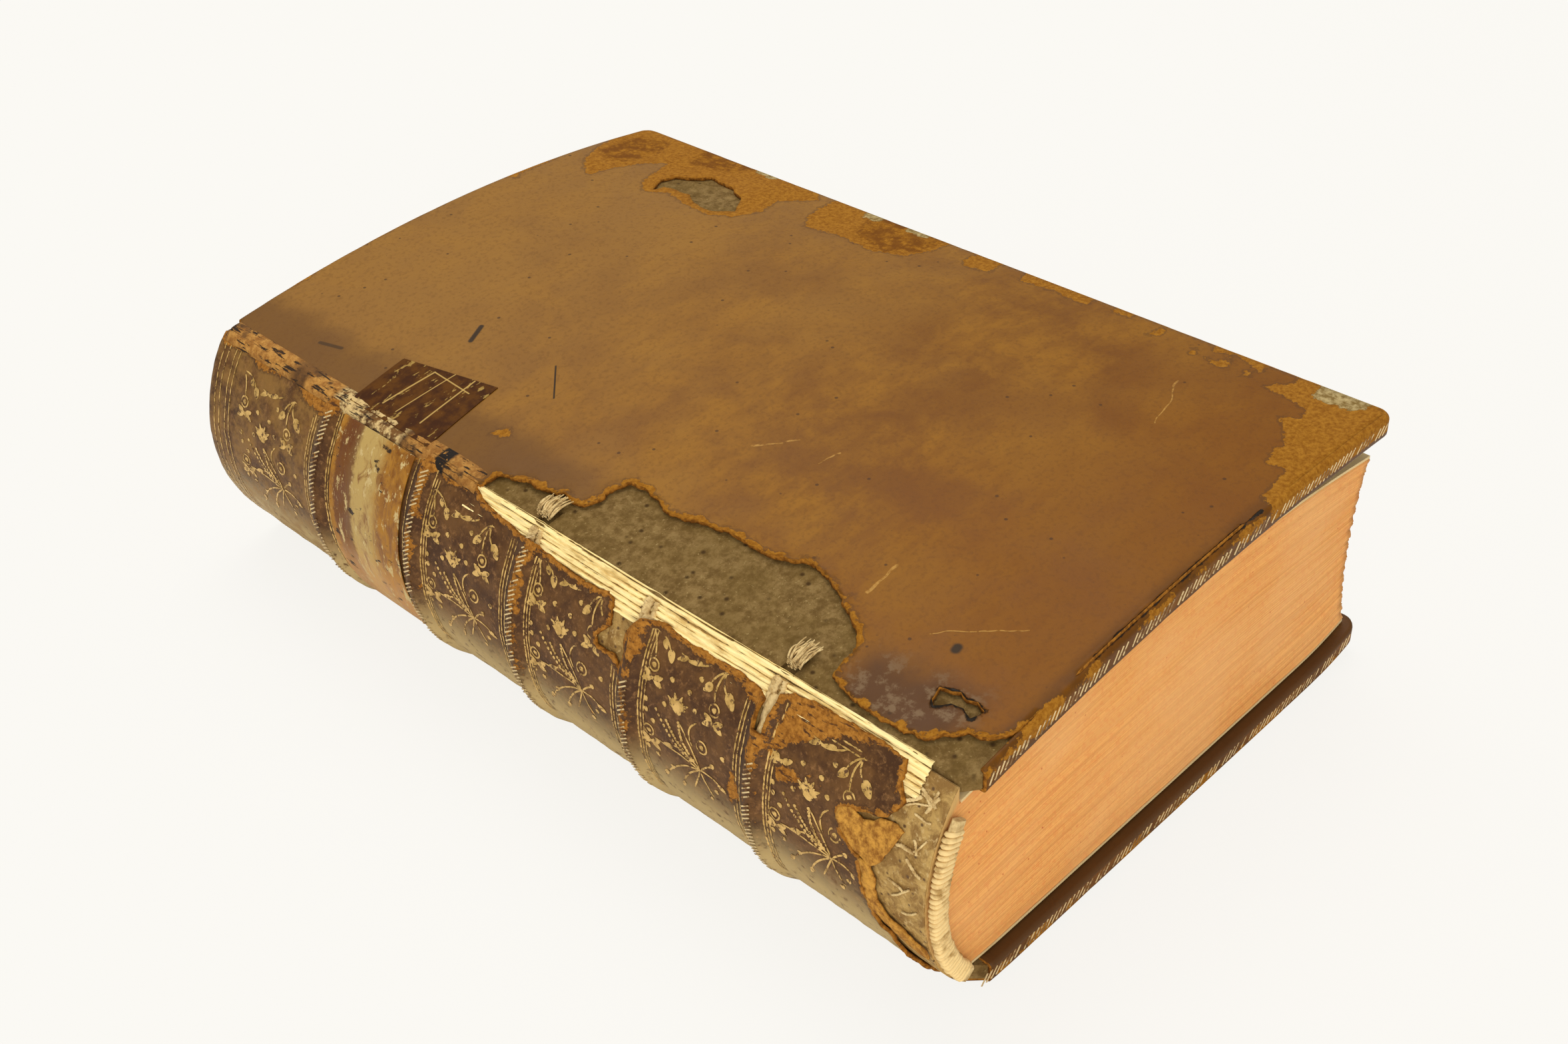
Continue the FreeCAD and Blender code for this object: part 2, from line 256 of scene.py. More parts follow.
def mottle_flat(flat, size, seed):
    return mottle(np.c_[flat[:, :2], 0 * flat[:, 0]], size, seed)


fly = 0.6
shoulder_r = spine_radius - 1.0


def under_board(x, y):
    drop = cover + 0.3
    tail = arc_through((-55.15, float(over_arc(tail_arc, -54.8)) - drop),
                       (-9.8, float(over_arc(tail_arc, -9.8)) - drop - 0.4),
                       (63.4, float(over_arc(tail_arc, 63.4)) - drop - 5.0))
    head = arc_through((-55.15, float(over_arc(head_arc, -54.8)) - drop),
                       (-9.8, float(over_arc(head_arc, -9.8)) - drop - 0.1),
                       (63.4, float(over_arc(head_arc, 63.4)) - drop - 0.1))
    return from_tail_to_head(over_arc(tail, x), over_arc(head, x), y)


def text_block_mesh():
    across, levels, along = 70, 130, 90
    u = np.linspace(0, 1, across)
    v = np.linspace(0, 1, levels)
    y = np.linspace(-97.5, 97.5, along)
    a_top = math.acos((-55.15 - spine_x) / shoulder_r)
    a_foot = 2 * math.pi - math.acos((-52.15 - spine_x) / shoulder_r)
    a = a_foot + (a_top - a_foot) * v
    back = np.stack([spine_x + shoulder_r * np.cos(a), spine_z + shoulder_r * np.sin(a)], -1)
    rng = np.random.default_rng(4)
    leaf = rng.normal(0, 0.05, levels) + 0.16 * np.sin(v * 90) * rng.uniform(0.3, 1, levels)

    def edge(x0, shoulder, face, yy):
        flank = abs(face(x0, yy) - shoulder)
        run = flank + 63.4 - x0
        s = u * run
        x = np.where(s < flank, x0, x0 + s - flank)
        z = shoulder + (face(x0, yy) - shoulder) * np.clip(s / flank, 0, 1)
        return np.stack([x, np.where(s < flank, z, face(x, yy))], -1)

    def section(yy):
        low = edge(-52.15, back[0, 1], lambda x, t: lower_face(x, t) + cover + 0.3 + fly, yy)
        top = edge(-55.15, back[-1, 1], lambda x, t: under_board(x, t) - fly, yy)
        right = np.stack([63.4 - 2.6 * 4 * v * (1 - v), low[-1, 1] + (top[-1, 1] - low[-1, 1]) * v], -1)
        U, V = u[:, None, None], v[None, :, None]
        p = (1 - V) * low[:, None] + V * top[:, None] + (1 - U) * back[None] + U * right[None]
        corners = ((1 - U) * (1 - V) * low[0] + U * (1 - V) * low[-1]
                   + (1 - U) * V * top[0] + U * V * top[-1])
        return p - corners

    index = {}
    points = []
    leafs = []

    def corner(i, j, k, p):
        if (i, j, k) not in index:
            index[i, j, k] = len(points)
            points.append(p)
            leafs.append(v[j])
        return index[i, j, k]

    faces = []
    sections = [section(t) for t in y]

    def spot(i, j, k):
        x, z = sections[k][i, j]
        rise = leaf[j] if 0 < j < levels - 1 else 0
        if k in (0, along - 1):
            wander = noise.noise(Vector((x / 9, v[j] * 30, k)))
            out = -1 if k == 0 else 1
            return x, y[k] + out * (rise + 0.15 * wander - 0.1) * min(1, i / 6), z
        if i == across - 1:
            return x + rise, y[k], z
        return x, y[k], z

    def quad(*cells):
        faces.append([corner(*c, spot(*c)) for c in cells])

    for i in range(across - 1):
        for j in range(levels - 1):
            quad((i, j, 0), (i + 1, j, 0), (i + 1, j + 1, 0), (i, j + 1, 0))
            k = along - 1
            quad((i, j + 1, k), (i + 1, j + 1, k), (i + 1, j, k), (i, j, k))
    for k in range(along - 1):
        for j in range(levels - 1):
            i = across - 1
            quad((i, j, k), (i, j, k + 1), (i, j + 1, k + 1), (i, j + 1, k))
            quad((0, j + 1, k), (0, j + 1, k + 1), (0, j, k + 1), (0, j, k))
        for i in range(across - 1):
            j = levels - 1
            quad((i, j, k), (i + 1, j, k), (i + 1, j, k + 1), (i, j, k + 1))
            quad((i, 0, k + 1), (i + 1, 0, k + 1), (i + 1, 0, k), (i, 0, k))
    return points, faces, {"leaf": leafs}


stained, place = finish("stained_edges", Roughness=0.78, Specular_IOR_Level=0.25)
leaf = attribute(place, "leaf")
x = place.axis("X")
rows = place.node("ShaderNodeCombineXYZ", {}, {"X": x * 9, "Y": place.axis("Y") * 9, "Z": leaf * 330})
lines = rows.node("ShaderNodeTexNoise", {}, {"Vector": rows, "Scale": 1.0, "Detail": 3.0})
wide_rows = rows.stretched((1, 1, 0.09))
sheaves = wide_rows.node("ShaderNodeTexNoise", {}, {"Vector": wide_rows, "Scale": 1.0, "Detail": 1.0})
salmon = lines.between(0.34, 0.62).blend((0.66, 0.295, 0.076), (0.84, 0.410, 0.118))
salmon = (sheaves.between(0.36, 0.5) * -0.22 + 0.22).blend(salmon, (0.56, 0.215, 0.05))
sprinkle = place.cloud(1.0, 5.0, 0.8).between(0.47, 0.62)
salmon = (sprinkle * 0.5).blend(salmon, (0.70, 0.235, 0.062))
salmon = place.specks(2.9, 0.02, 0.09).blend(salmon, (0.52, 0.12, 0.035))
salmon = (attribute(place, "back") * 0.9).blend(salmon, (0.50, 0.32, 0.105))
salmon = (place.cloud(26, 2.0).between(0.35, 0.7) * 0.35).blend(salmon, (0.80, 0.47, 0.20))
wire(stained, relief=(lines, 0.12), Base_Color=salmon)

points, faces, layers = text_block_mesh()
reach = np.hypot(np.array(points)[:, 0] - spine_x, np.array(points)[:, 2] - spine_z)
layers["back"] = (reach > shoulder_r - 1.2) & (np.array(points)[:, 0] < -50)
block = mesh_piece("text_block_leaves", points, faces, [stained], layers)
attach(block, "block")
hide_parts("text_block")


# Blank leaves and pastedowns: cream laid paper, foxed, lining the boards and guarding the
# first and last gatherings. They keep the shape that the frame gives them.
paper, place = finish("blank_paper", Roughness=0.85, Specular_IOR_Level=0.2)
foxing = place.cloud(11, 6.0).between(0.52, 0.75)
cream = foxing.blend((0.66, 0.50, 0.25), (0.46, 0.27, 0.09))
chain = place.stretched((40, 900, 40))
chain = chain.node("ShaderNodeTexNoise", {}, {"Vector": chain, "Scale": 1.0})
wire(paper, relief=(chain, 0.05), Base_Color=cream)
dress(paper, "front_flyleaf", "back_flyleaf", "upper_pastedown", "lower_pastedown")


# Backs of the gatherings, bare where the calf has split along the upper joint: five or six
# cream folds side by side, pasted over, running from band to band.
def in_bands(y):
    bands = [-60.5, -30.25, 0.0, 30.25, 60.5]
    return np.min([np.abs(y - b) for b in bands], 0)


def folds_mesh():
    u = np.linspace(-0.3, 6.6, 56)
    y = np.linspace(-92, 19, 330)
    U, Y = np.meshgrid(u, y, indexing="ij")
    flat = np.stack([U * 2, Y / 14, 0 * U], -1).reshape(-1, 3)
    wave = mottle(flat, 1.0, 3).reshape(U.shape)
    phase = U / 1.15 + 0.22 * wave + 0.15 * np.sin(Y / 17)
    ridge = np.abs(np.sin(math.pi * phase)) ** 0.6
    chips = mottle(np.stack([U * 1.6, Y / 2.2, 0 * U], -1).reshape(-1, 3), 1.0, 8).reshape(U.shape)
    r = spine_radius - 0.95 + 0.75 * ridge + 0.3 * wave - 0.45 * np.clip(chips - 0.25, 0, 1)
    r -= 0.6 * np.exp(-(in_bands(Y) / 1.6) ** 2)
    points = on_back(U, Y, r).reshape(-1, 3)
    return points, grid_faces(*U.shape), ridge.ravel()


folded, place = finish("folded_gatherings", Roughness=0.8, Specular_IOR_Level=0.25)
ridge = attribute(place, "ridge")
dirt = place.stretched((1, 0.25, 1)).cloud(2.2, 6.0, 0.7).between(0.47, 0.70)
tone = dirt.blend((0.98, 0.80, 0.38), (0.66, 0.45, 0.15))
# painted shade: the grooves between the folds, where the ridge mask is low, are made dark brown
tone = ridge.between(0.16, 0.46).blend((0.13, 0.070, 0.020), tone)
wire(folded, relief=(place.stretched((1, 0.2, 1)).cloud(0.8, 4.0), 0.15), Base_Color=tone)
points, faces, ridge = folds_mesh()
folds = mesh_piece("gathering_folds", points, faces, [folded], {"ridge": ridge})
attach(folds, "block")


# Five raised cords of three-ply hemp, on which the gatherings are sewn, and the kettle
# stitches at head and tail that link one gathering to the next.
hemp, place = finish("hemp", Roughness=0.9, Specular_IOR_Level=0.15)
tone = place.cloud(1.6, 5.0).between(0.35, 0.7).blend((0.74, 0.56, 0.27), (0.40, 0.25, 0.09))
wire(hemp, relief=(place.cloud(0.5, 4.0), 0.2), Base_Color=tone)

cord_radius, plies = 1.5, 3
cord_y = [-60.5, -30.25, 0.0, 30.25, 60.5]
cord_x, cord_z, cord_line = arc_through((-55.15, 48.7), (-63.6, 27.0), (-52.15, 3.4))


def twisted_cord(y):
    around, along = 20, 150
    start = math.acos((-55.2 - cord_x) / (cord_line - cord_radius))
    end = 2 * math.pi - math.acos((-52.2 - cord_x) / (cord_line - cord_radius))
    a = np.linspace(start, end, along)[:, None]
    b = np.linspace(0, 2 * math.pi, around, endpoint=False)[None, :]
    r = cord_radius * (0.80 + 0.20 * np.abs(np.cos(plies / 2 * (b - a * cord_line / 2.6))))
    out = cord_line + r * np.cos(b)
    points = np.stack([cord_x + out * np.cos(a), y + r * np.sin(b), cord_z + out * np.sin(a)], -1)
    faces = []
    for i in range(along - 1):
        for j in range(around):
            k = (j + 1) % around
            faces.append((i * around + j, i * around + k, (i + 1) * around + k, (i + 1) * around + j))
    faces.append(tuple(range(around))[::-1])
    faces.append(tuple(range((along - 1) * around, along * around)))
    return points.reshape(-1, 3), faces


for number, y in enumerate(cord_y, 1):
    points, faces = twisted_cord(y)
    cord = mesh_piece("sewing_cord_twisted_%d" % number, points, faces, [hemp])
    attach(cord, "block")
    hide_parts("sewing_cord_%d" % number)
dress(hemp, "kettle_stitch_tail", "kettle_stitch_head")


# Linings between the cords: printer's waste pasted over the back, now mottled beige and
# brown with old glue. The one at the tail is laid bare by the torn calf.
lining, place = finish("glued_lining", Roughness=0.7, Specular_IOR_Level=0.35)
glue = place.cloud(3.2, 7.0, 0.7, 0.6).between(0.38, 0.62)
tone = glue.blend((0.52, 0.33, 0.10), (0.25, 0.13, 0.028))
tone = (place.cloud(1.0, 5.0).between(0.55, 0.7) * 0.8).blend(tone, (0.66, 0.47, 0.20))
tone = place.specks(1.7, 0.10, 0.26).blend(tone, (0.12, 0.06, 0.02))
wire(lining, relief=(place.cloud(1.3, 6.0, 0.7), 0.5), Base_Color=tone)
dress(lining, *["spine_lining_%d" % number for number in range(1, 7)])


# Headbands: a flat core laid on the edge of the leaves behind the back and wound with
# linen thread, each turn leaning on the one before.
def set_along(name, path, values, shape):
    tree = bpy.data.node_groups.new(name + "_along", "GeometryNodeTree")
    face = tree.interface
    face.new_socket("Geometry", in_out="INPUT", socket_type="NodeSocketGeometry")
    keys = {key: face.new_socket(key, in_out="INPUT", socket_type="NodeSocket" + kind).identifier
            for key, kind, _ in values}
    face.new_socket("Geometry", in_out="OUTPUT", socket_type="NodeSocketGeometry")

    def add(kind, **settings):
        made = tree.nodes.new(kind)
        for key, value in settings.items():
            setattr(made, key, value)
        return made

    start, end = add("NodeGroupInput"), add("NodeGroupOutput")
    curve, even = add("GeometryNodeMeshToCurve"), add("GeometryNodeResampleCurve", mode="LENGTH")
    tangent = add("GeometryNodeInputTangent")
    along = add("FunctionNodeAlignRotationToVector", axis="Z")
    level = add("FunctionNodeAlignRotationToVector", axis="Y", pivot_axis="Z")
    lean, turned = add("ShaderNodeCombineXYZ"), add("FunctionNodeEulerToRotation")
    tilt = add("FunctionNodeRotateRotation", rotation_space="LOCAL")
    copies, real = add("GeometryNodeInstanceOnPoints"), add("GeometryNodeRealizeInstances")
    coat = add("GeometryNodeSetMaterial")
    given = start.outputs
    links = [(given["Geometry"], curve.inputs["Mesh"]), (curve.outputs["Curve"], even.inputs["Curve"]),
             (given["Spacing"], even.inputs["Length"]), (tangent.outputs[0], along.inputs["Vector"]),
             (along.outputs[0], level.inputs["Rotation"]), (given["Upright"], level.inputs["Vector"]),
             (given["Lean"], lean.inputs["X"]), (lean.outputs[0], turned.inputs[0]),
             (level.outputs[0], tilt.inputs["Rotation"]), (turned.outputs[0], tilt.inputs["Rotate By"]),
             (even.outputs["Curve"], copies.inputs["Points"]), (tilt.outputs[0], copies.inputs["Rotation"]),
             (copies.outputs[0], real.inputs[0]), (real.outputs[0], coat.inputs["Geometry"]),
             (given["Finish"], coat.inputs["Material"]), (coat.outputs[0], end.inputs["Geometry"])]
    for a, b in links + shape(add, given, copies.inputs):
        tree.links.new(a, b)
    line = bpy.data.meshes.new(name)
    line.from_pydata((np.asarray(path) * 0.001).tolist(), [(i, i + 1) for i in range(len(path) - 1)], [])
    piece = bpy.data.objects.new(name, line)
    bpy.context.scene.collection.objects.link(piece)
    modifier = piece.modifiers.new("along", "NODES")
    modifier.node_group = tree
    for key, _, value in values:
        modifier[keys[key]] = value
    return plain(piece)


def plain(piece):
    bpy.context.view_layer.update()
    ready = piece.evaluated_get(bpy.context.evaluated_depsgraph_get())
    done = bpy.data.meshes.new_from_object(ready)
    piece.modifiers.clear()
    piece.data = done
    return piece


def wound(name, path, turn, spacing, lean, finish_used):
    def shape(add, given, copies):
        size = add("FunctionNodeRandomValue", data_type="FLOAT")
        size.inputs[2].default_value, size.inputs[3].default_value = 0.94, 1.07
        info = add("GeometryNodeObjectInfo")
        return [(given["Seed"], size.inputs["Seed"]), (given["Turn"], info.inputs["Object"]),
                (info.outputs["Geometry"], copies["Instance"]), (size.outputs[1], copies["Scale"])]

    piece = set_along(name, path, (
        ("Turn", "Object", turn), ("Spacing", "Float", spacing * 0.001), ("Lean", "Float", lean),
        ("Upright", "Vector", (0, 1, 0)), ("Seed", "Int", 5), ("Finish", "Material", finish_used)), shape)
    bpy.data.objects.remove(turn)
    piece.data.polygons.foreach_set("use_smooth", np.ones(len(piece.data.polygons), dtype=bool))
    return piece


def thread_turn(width, depth, thick):
    around, ring = 26, 6
    points = []
    for i in range(around):
        t = 2 * math.pi * i / around
        c, s = math.cos(t), math.sin(t)
        k = (abs(c) ** 3.2 + abs(s) ** 3.2) ** (-1 / 3.2)
        centre = np.array([depth / 2 * k * c, width / 2 * k * s])
        out = centre / np.linalg.norm(centre)
        for j in range(ring):
            q = 2 * math.pi * j / ring
            spot = centre + out * thick / 2 * (math.cos(q) - 1)
            points.append((spot[0], spot[1], thick / 2 * math.sin(q)))
    faces = []
    for i in range(around):
        for j in range(ring):
            a, b = i * ring, (i + 1) % around * ring
            k = (j + 1) % ring
            faces.append((a + j, b + j, b + k, a + k))
    return mesh_piece("thread_turn", points, faces, [])


linen, place = finish("linen_thread", Roughness=0.75, Specular_IOR_Level=0.3)
soil = place.cloud(2.4, 5.0).between(0.48, 0.72)
tone = soil.blend((0.82, 0.60, 0.27), (0.42, 0.25, 0.075))
wire(linen, relief=(place.cloud(0.25, 3.0), 0.08), Base_Color=tone)
band_middle = shoulder_r - 1.9
for end, y0, y1, slot in (("tail", -99.7, -97.5, "thread"), ("head", 97.5, 99.1, "thread")):
    top = math.acos((-55.6 - spine_x) / (band_middle - 1.9)) + 0.02
    foot = 2 * math.pi - math.acos((-52.6 - spine_x) / (band_middle - 1.9)) - 0.02
    a = np.linspace(top, foot, 120)
    path = np.stack([spine_x + band_middle * np.cos(a), 0 * a + (y0 + y1) / 2,
                     spine_z + band_middle * np.sin(a)], -1)
    band = wound(end + "_headband_winding", path, thread_turn(y1 - y0, 3.8, 0.92), 1.02, 0.34, linen)
    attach(band, "block")
    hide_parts(end + "_headband_thread")
    dress(hemp, end + "_headband_core")


# Boards of grey-brown pasteboard, layered and fibrous, bare where the calf is torn away,
# with the flattened cord ends laced through them. Two of these are frayed and stand free.
pulp, place = finish("pasteboard", Roughness=0.92, Specular_IOR_Level=0.15)
tone = place.cloud(2.0, 8.0, 0.75).between(0.36, 0.66).blend((0.180, 0.102, 0.027), (0.375, 0.240, 0.084))
tone = (place.cloud(9, 3.0).between(0.4, 0.65) * 0.4).blend(tone, (0.190, 0.112, 0.024))
tone = place.stretched((1, 1, 0.3)).specks(3.4, 0.05, 0.2).blend(tone, (0.080, 0.042, 0.012))
tone = (place.cloud(0.7, 3.0).between(0.62, 0.72) * 0.7).blend(tone, (0.52, 0.37, 0.14))
wire(pulp, relief=(place.cloud(1.6, 8.0, 0.78), 0.9), Base_Color=tone)
dress(pulp, "upper_board", "lower_board")
dress(hemp, *[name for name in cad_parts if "cord_slip" in name])


def fibres(starts, run, rng, count, thick):
    points, faces = [], []
    for _ in range(count):
        at = np.array(starts, dtype=float) + rng.normal(0, 1, 3) * (0.15, 0.75, 0.18)
        fan = rng.uniform(-0.35, 0.35)
        curl = rng.uniform(-0.5, 0.5)
        length = run * rng.uniform(0.6, 1.12)
        steps = 9
        for i in range(steps):
            t = i / (steps - 1)
            x = at[0] + length * t
            y = at[1] + length * fan * t + curl * math.sin(3 * t)
            z = at[2] + 0.55 * math.sin(2.6 * t + fan * 3) + upper_face(x, y) - 0.8
            radius = thick * (1 - 0.55 * t)
            for j in range(5):
                q = 2 * math.pi * j / 5
                points.append((x, y + radius * math.cos(q), z + 0.35 + at[2] + radius * math.sin(q)))
        base = len(points) - steps * 5
        for i in range(steps - 1):
            for j in range(5):
                k = (j + 1) % 5
                a, b = base + i * 5, base + (i + 1) * 5
                faces.append((a + j, a + k, b + k, b + j))
        faces.append(tuple(base + j for j in range(5)))
        faces.append(tuple(base + (steps - 1) * 5 + j for j in range(5))[::-1])
    return points, faces


rng = np.random.default_rng(12)
for number, y, run in ((1, -61.0, 5.4), (3, 0.6, 4.6)):
    points, faces = fibres((-53.4, y, 0.3), run, rng, 46, 0.26)
    frayed = mesh_piece("frayed_slip_%d" % number, points, faces, [hemp])
    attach(frayed, "upper_cover")
    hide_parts("upper_cord_slip_%d" % number)


# The calf of the two covers: one skin drawn over each board, its edges turned in on the
# inside. On the upper board it has torn away along the joint, with a lifted, doubled lip,
# and its surface is worn to orange suede at the fore-edge and the corners.
def inside(points, outline):
    x, y = np.asarray(points, dtype=float)[:, :2].T
    within = np.zeros(len(x), dtype=bool)
    for (xa, ya), (xb, yb) in zip(outline, list(outline[1:]) + [outline[0]]):
        cross = (ya > y) != (yb > y)
        with np.errstate(divide="ignore", invalid="ignore"):
            within ^= cross & (x < (xb - xa) * (y - ya) / (yb - ya) + xa)
    return within


def away(points, line):
    p = np.asarray(points, dtype=float)[:, :2]
    least = np.full(len(p), 1e9)
    for a, b in zip(line[:-1], line[1:]):
        a, b = np.asarray(a, dtype=float), np.asarray(b, dtype=float)
        run = b - a
        t = np.clip(((p - a) @ run) / max(run @ run, 1e-9), 0, 1)
        least = np.minimum(least, np.linalg.norm(p - a - t[:, None] * run, axis=1))
    return least


def depth_in(points, outline):
    ring = list(outline) + [outline[0]]
    return np.where(inside(points, outline), 1, -1) * away(points, ring)


def ragged(line, step, rough, seed):
    def wander(p, axis):
        level = seed + 0.4 + 31 * axis
        coarse = noise.noise(Vector((p[0] / 2.4, p[1] / 2.4, level)))
        fine = noise.noise(Vector((p[0] / 0.7, p[1] / 0.7, level + 9)))
        return rough * (coarse + 0.45 * fine)

    out = []
    for a, b in zip(line[:-1], line[1:]):
        a, b = np.asarray(a, dtype=float), np.asarray(b, dtype=float)
        count = max(1, int(np.linalg.norm(b - a) / step))
        for i in range(count):
            p = a + (b - a) * i / count
            out.append((p[0] + wander(p, 0), p[1] + wander(p, 1)))
    out.append(tuple(line[-1]))
    return out


def fill(outline, holes, step):
    rings = [outline] + holes
    flat, edges = [], []
    for ring in rings:
        start = len(flat)
        flat += [Vector(p[:2]) for p in ring]
        edges += [(start + i, start + (i + 1) % len(ring)) for i in range(len(ring))]
    lo, hi = np.min(outline, 0), np.max(outline, 0)
    rows = np.arange(lo[1] + step / 2, hi[1], step * 0.87)
    mesh = [(x + (step / 2 if k % 2 else 0), y) for k, y in enumerate(rows)
            for x in np.arange(lo[0] + step / 2, hi[0], step)]
    keep = inside(mesh, outline) & (away(mesh, list(outline) + [outline[0]]) > 0.45 * step)
    for hole in holes:
        keep &= depth_in(mesh, hole) < -0.45 * step
    flat += [Vector(p) for p, good in zip(mesh, keep) if good]
    verts, _, faces, *_ = delaunay_2d_cdt(flat, edges, [], 0, 1e-4)
    verts = np.array([v[:] for v in verts])
    middles = np.array([verts[list(f)].mean(0) for f in faces])
    good = inside(middles, outline)
    for hole in holes:
        good &= ~inside(middles, hole)
    return verts, [tuple(f) for f, g in zip(faces, good) if g]


def thicken(piece, thick, rim=1):
    wall = piece.modifiers.new("thickness", "SOLIDIFY")
    wall.thickness, wall.offset, wall.material_offset_rim = thick * 0.001, -1, rim
    return plain(piece)


def perimeter(start_x, end_x, inset):
    r = 3.0 - inset
    x1, y1 = fore_x - 3.0, half_length - 3.0
    out = [((x, -half_length + inset), (0, -1)) for x in np.arange(start_x, x1, 1.0)]
    out += [((x1 + r * math.sin(t), -y1 - r * math.cos(t)), (math.sin(t), -math.cos(t)))
            for t in np.linspace(0, math.pi / 2, 7)]
    out += [((fore_x - inset, y), (1, 0)) for y in np.arange(-y1 + 1, y1 - 0.5, 1.0)]
    out += [((x1 + r * math.cos(t), y1 + r * math.sin(t)), (math.cos(t), math.sin(t)))
            for t in np.linspace(0, math.pi / 2, 7)]
    out += [((x, half_length - inset), (0, 1)) for x in np.arange(x1 - 1, end_x - 0.01, -1.0)]
    return out


def cover_skin(face, face_height):
    arris, foot, inset, turn = 1.2, 0.8, 1.2, 6.0
    walk = perimeter(joint_x[face] + 3.0, joint_x[face] + 3.0, inset)
    base = np.array([p for p, _ in walk])
    out = np.array([n for _, n in walk])
    profile = [(arris * math.sin(t), arris * (1 - math.cos(t))) for t in np.linspace(0, math.pi / 2, 6)]
    profile += [(arris, d) for d in np.linspace(arris + 0.4, cover - foot, 4)]
    profile += [(arris - foot * (1 - math.cos(t)), cover - foot + foot * math.sin(t))
                for t in np.linspace(0.3, math.pi / 2, 5)]
    points = []
    edge_line = base + out * inset
    for k, (o, d) in enumerate(profile):
        flat = base + out * o
        wob = 0.10 * mottle(np.c_[edge_line, np.full(len(flat), k * 0.7)], 7.0, 4) * (1 if 0 < k < 12 else 0)
        flat = flat + out * np.minimum(wob, 0)[:, None]
        z = face_height(edge_line[:, 0], edge_line[:, 1])
        points.append(np.c_[flat, z - face * d])
    low = np.clip(base, (joint_x[face], -half_length + turn), (fore_x - turn, half_length - turn))
    z = face_height(low[:, 0], low[:, 1])
    points.append(np.c_[low, z - face * (cover + 0.02)])
    count, rows = len(walk), len(points)
    faces = []
    for k in range(rows - 1):
        for i in range(count - 1):
            a = k * count + i
            faces.append((a, a + count, a + count + 1, a + 1))
    rim = np.concatenate(points)
    return walk, rim, faces


def join_cover(name, face, top_flat, top_faces, lift, rim, rim_faces, finishes, layers_of, thick=0.72):
    height = upper_face if face > 0 else lower_face
    top = np.c_[top_flat, height(top_flat[:, 0], top_flat[:, 1]) + face * lift]
    points = np.concatenate([top, rim])
    n = len(top)
    faces = list(top_faces) + [tuple(i + n for i in f) for f in rim_faces]
    if face < 0:
        faces = [f[::-1] for f in faces]
    piece = mesh_piece(name, points, faces, finishes, layers_of(points))
    weld = piece.modifiers.new("weld", "WELD")
    weld.merge_threshold = 0.00002
    return thicken(piece, thick)


torn_line = [(-54.8, 16.3), (-51.5, 15.6), (-50.0, 11.0), (-49.3, 5.8), (-47.8, 1.4), (-49.1, -0.5),
             (-47.6, -4.0), (-44.6, -5.2), (-41.4, -5.4), (-38.9, -6.6), (-38.2, -9.5), (-38.7, -13.5),
             (-40.3, -17.8), (-38.9, -23.6), (-37.5, -30.3), (-37.6, -38.4), (-37.0, -42.8),
             (-34.8, -47.6), (-35.8, -53.0), (-37.5, -56.6), (-40.4, -62.4), (-43.3, -66.4),
             (-48.1, -67.1), (-51.8, -68.1), (-53.4, -73.0), (-53.7, -80.4), (-52.9, -87.0),
             (-50.0, -90.9), (-47.1, -93.0), (-46.9, -96.2), (-44.8, -97.9), (-41.8, -98.8)]
corner_hole = [(-46.7, -85.1), (-45.7, -84.0), (-43.3, -83.4), (-42.1, -87.0), (-42.9, -88.5),
               (-42.1, -90.4), (-43.1, -92.3), (-45.7, -91.4), (-44.5, -89.4), (-45.0, -87.0)]
head_hole = [(38.9, 70.2), (44.2, 73.1), (48.0, 72.1), (50.0, 69.2), (53.8, 66.3), (52.9, 59.6),
             (50.0, 52.9), (44.2, 49.0), (40.4, 52.9), (40.4, 58.7), (43.2, 62.5), (42.3, 69.2)]
suede_patches = [
    [(24.5, -101), (25.9, -97.1), (30.7, -96.2), (36.0, -95.7), (35.5, -91.4), (40.4, -90.4),
     (42.3, -91.4), (48.0, -87.0), (49.5, -85.1), (51.9, -88.5), (54.8, -88.0), (56.2, -84.2),
     (57.2, -77.4), (59.1, -78.4), (61.0, -80.3), (67.5, -81.3), (67.5, -101)],
    [(58.1, -4.3), (60.1, -2.4), (67.5, -2.4), (67.5, -9.2), (59.6, -9.6)],
    [(61.0, -16.8), (67.5, -14.0), (67.5, -32.7), (61.0, -33.2), (62.0, -24.5)],
    [(62.3, -39.0), (67.5, -38.5), (67.5, -43.3), (63.0, -42.8)],
    [(59.1, -49.1), (63.4, -50.0), (63.0, -51.5), (60.1, -51.5)],
    [(58.4, -60.1), (61.0, -59.0), (60.7, -60.3), (58.6, -60.9)],
    [(57.2, -66.8), (59.1, -63.0), (59.6, -65.9), (62.5, -66.8), (59.6, -68.0)],
    [(67.5, -60.1), (62.5, -63.0), (64.0, -67.8), (61.6, -73.6), (67.5, -74.5)],
    [(57.9, -72.1), (60.1, -71.2), (60.5, -72.8), (58.6, -73.4)],
    [(34.6, 86.5), (36.5, 90.4), (40.4, 94.2), (46.1, 97.1), (58.6, 101), (67.5, 101), (67.5, 46.2),
     (62.0, 40.4), (54.8, 46.2), (48.0, 44.7), (41.2, 47.4), (38.6, 52.5), (39.0, 60), (40.6, 66),
     (37.2, 71.2), (41.3, 75.6), (52.9, 78.8), (48.0, 82.7), (40.4, 85.6)],
    [(49.0, 32.7), (54.8, 36.5), (67.5, 38.5), (67.5, 4.8), (59.6, 5.3), (52.9, 7.7), (50.0, 15.4),
     (50.9, 24.0)],
    [(22.1, 97), (24.0, 98.2), (34.6, 98.6), (38.0, 101), (20, 101)],
    [(-44.7, 26.2), (-41.2, 24.0), (-43.4, 22.0)],
]
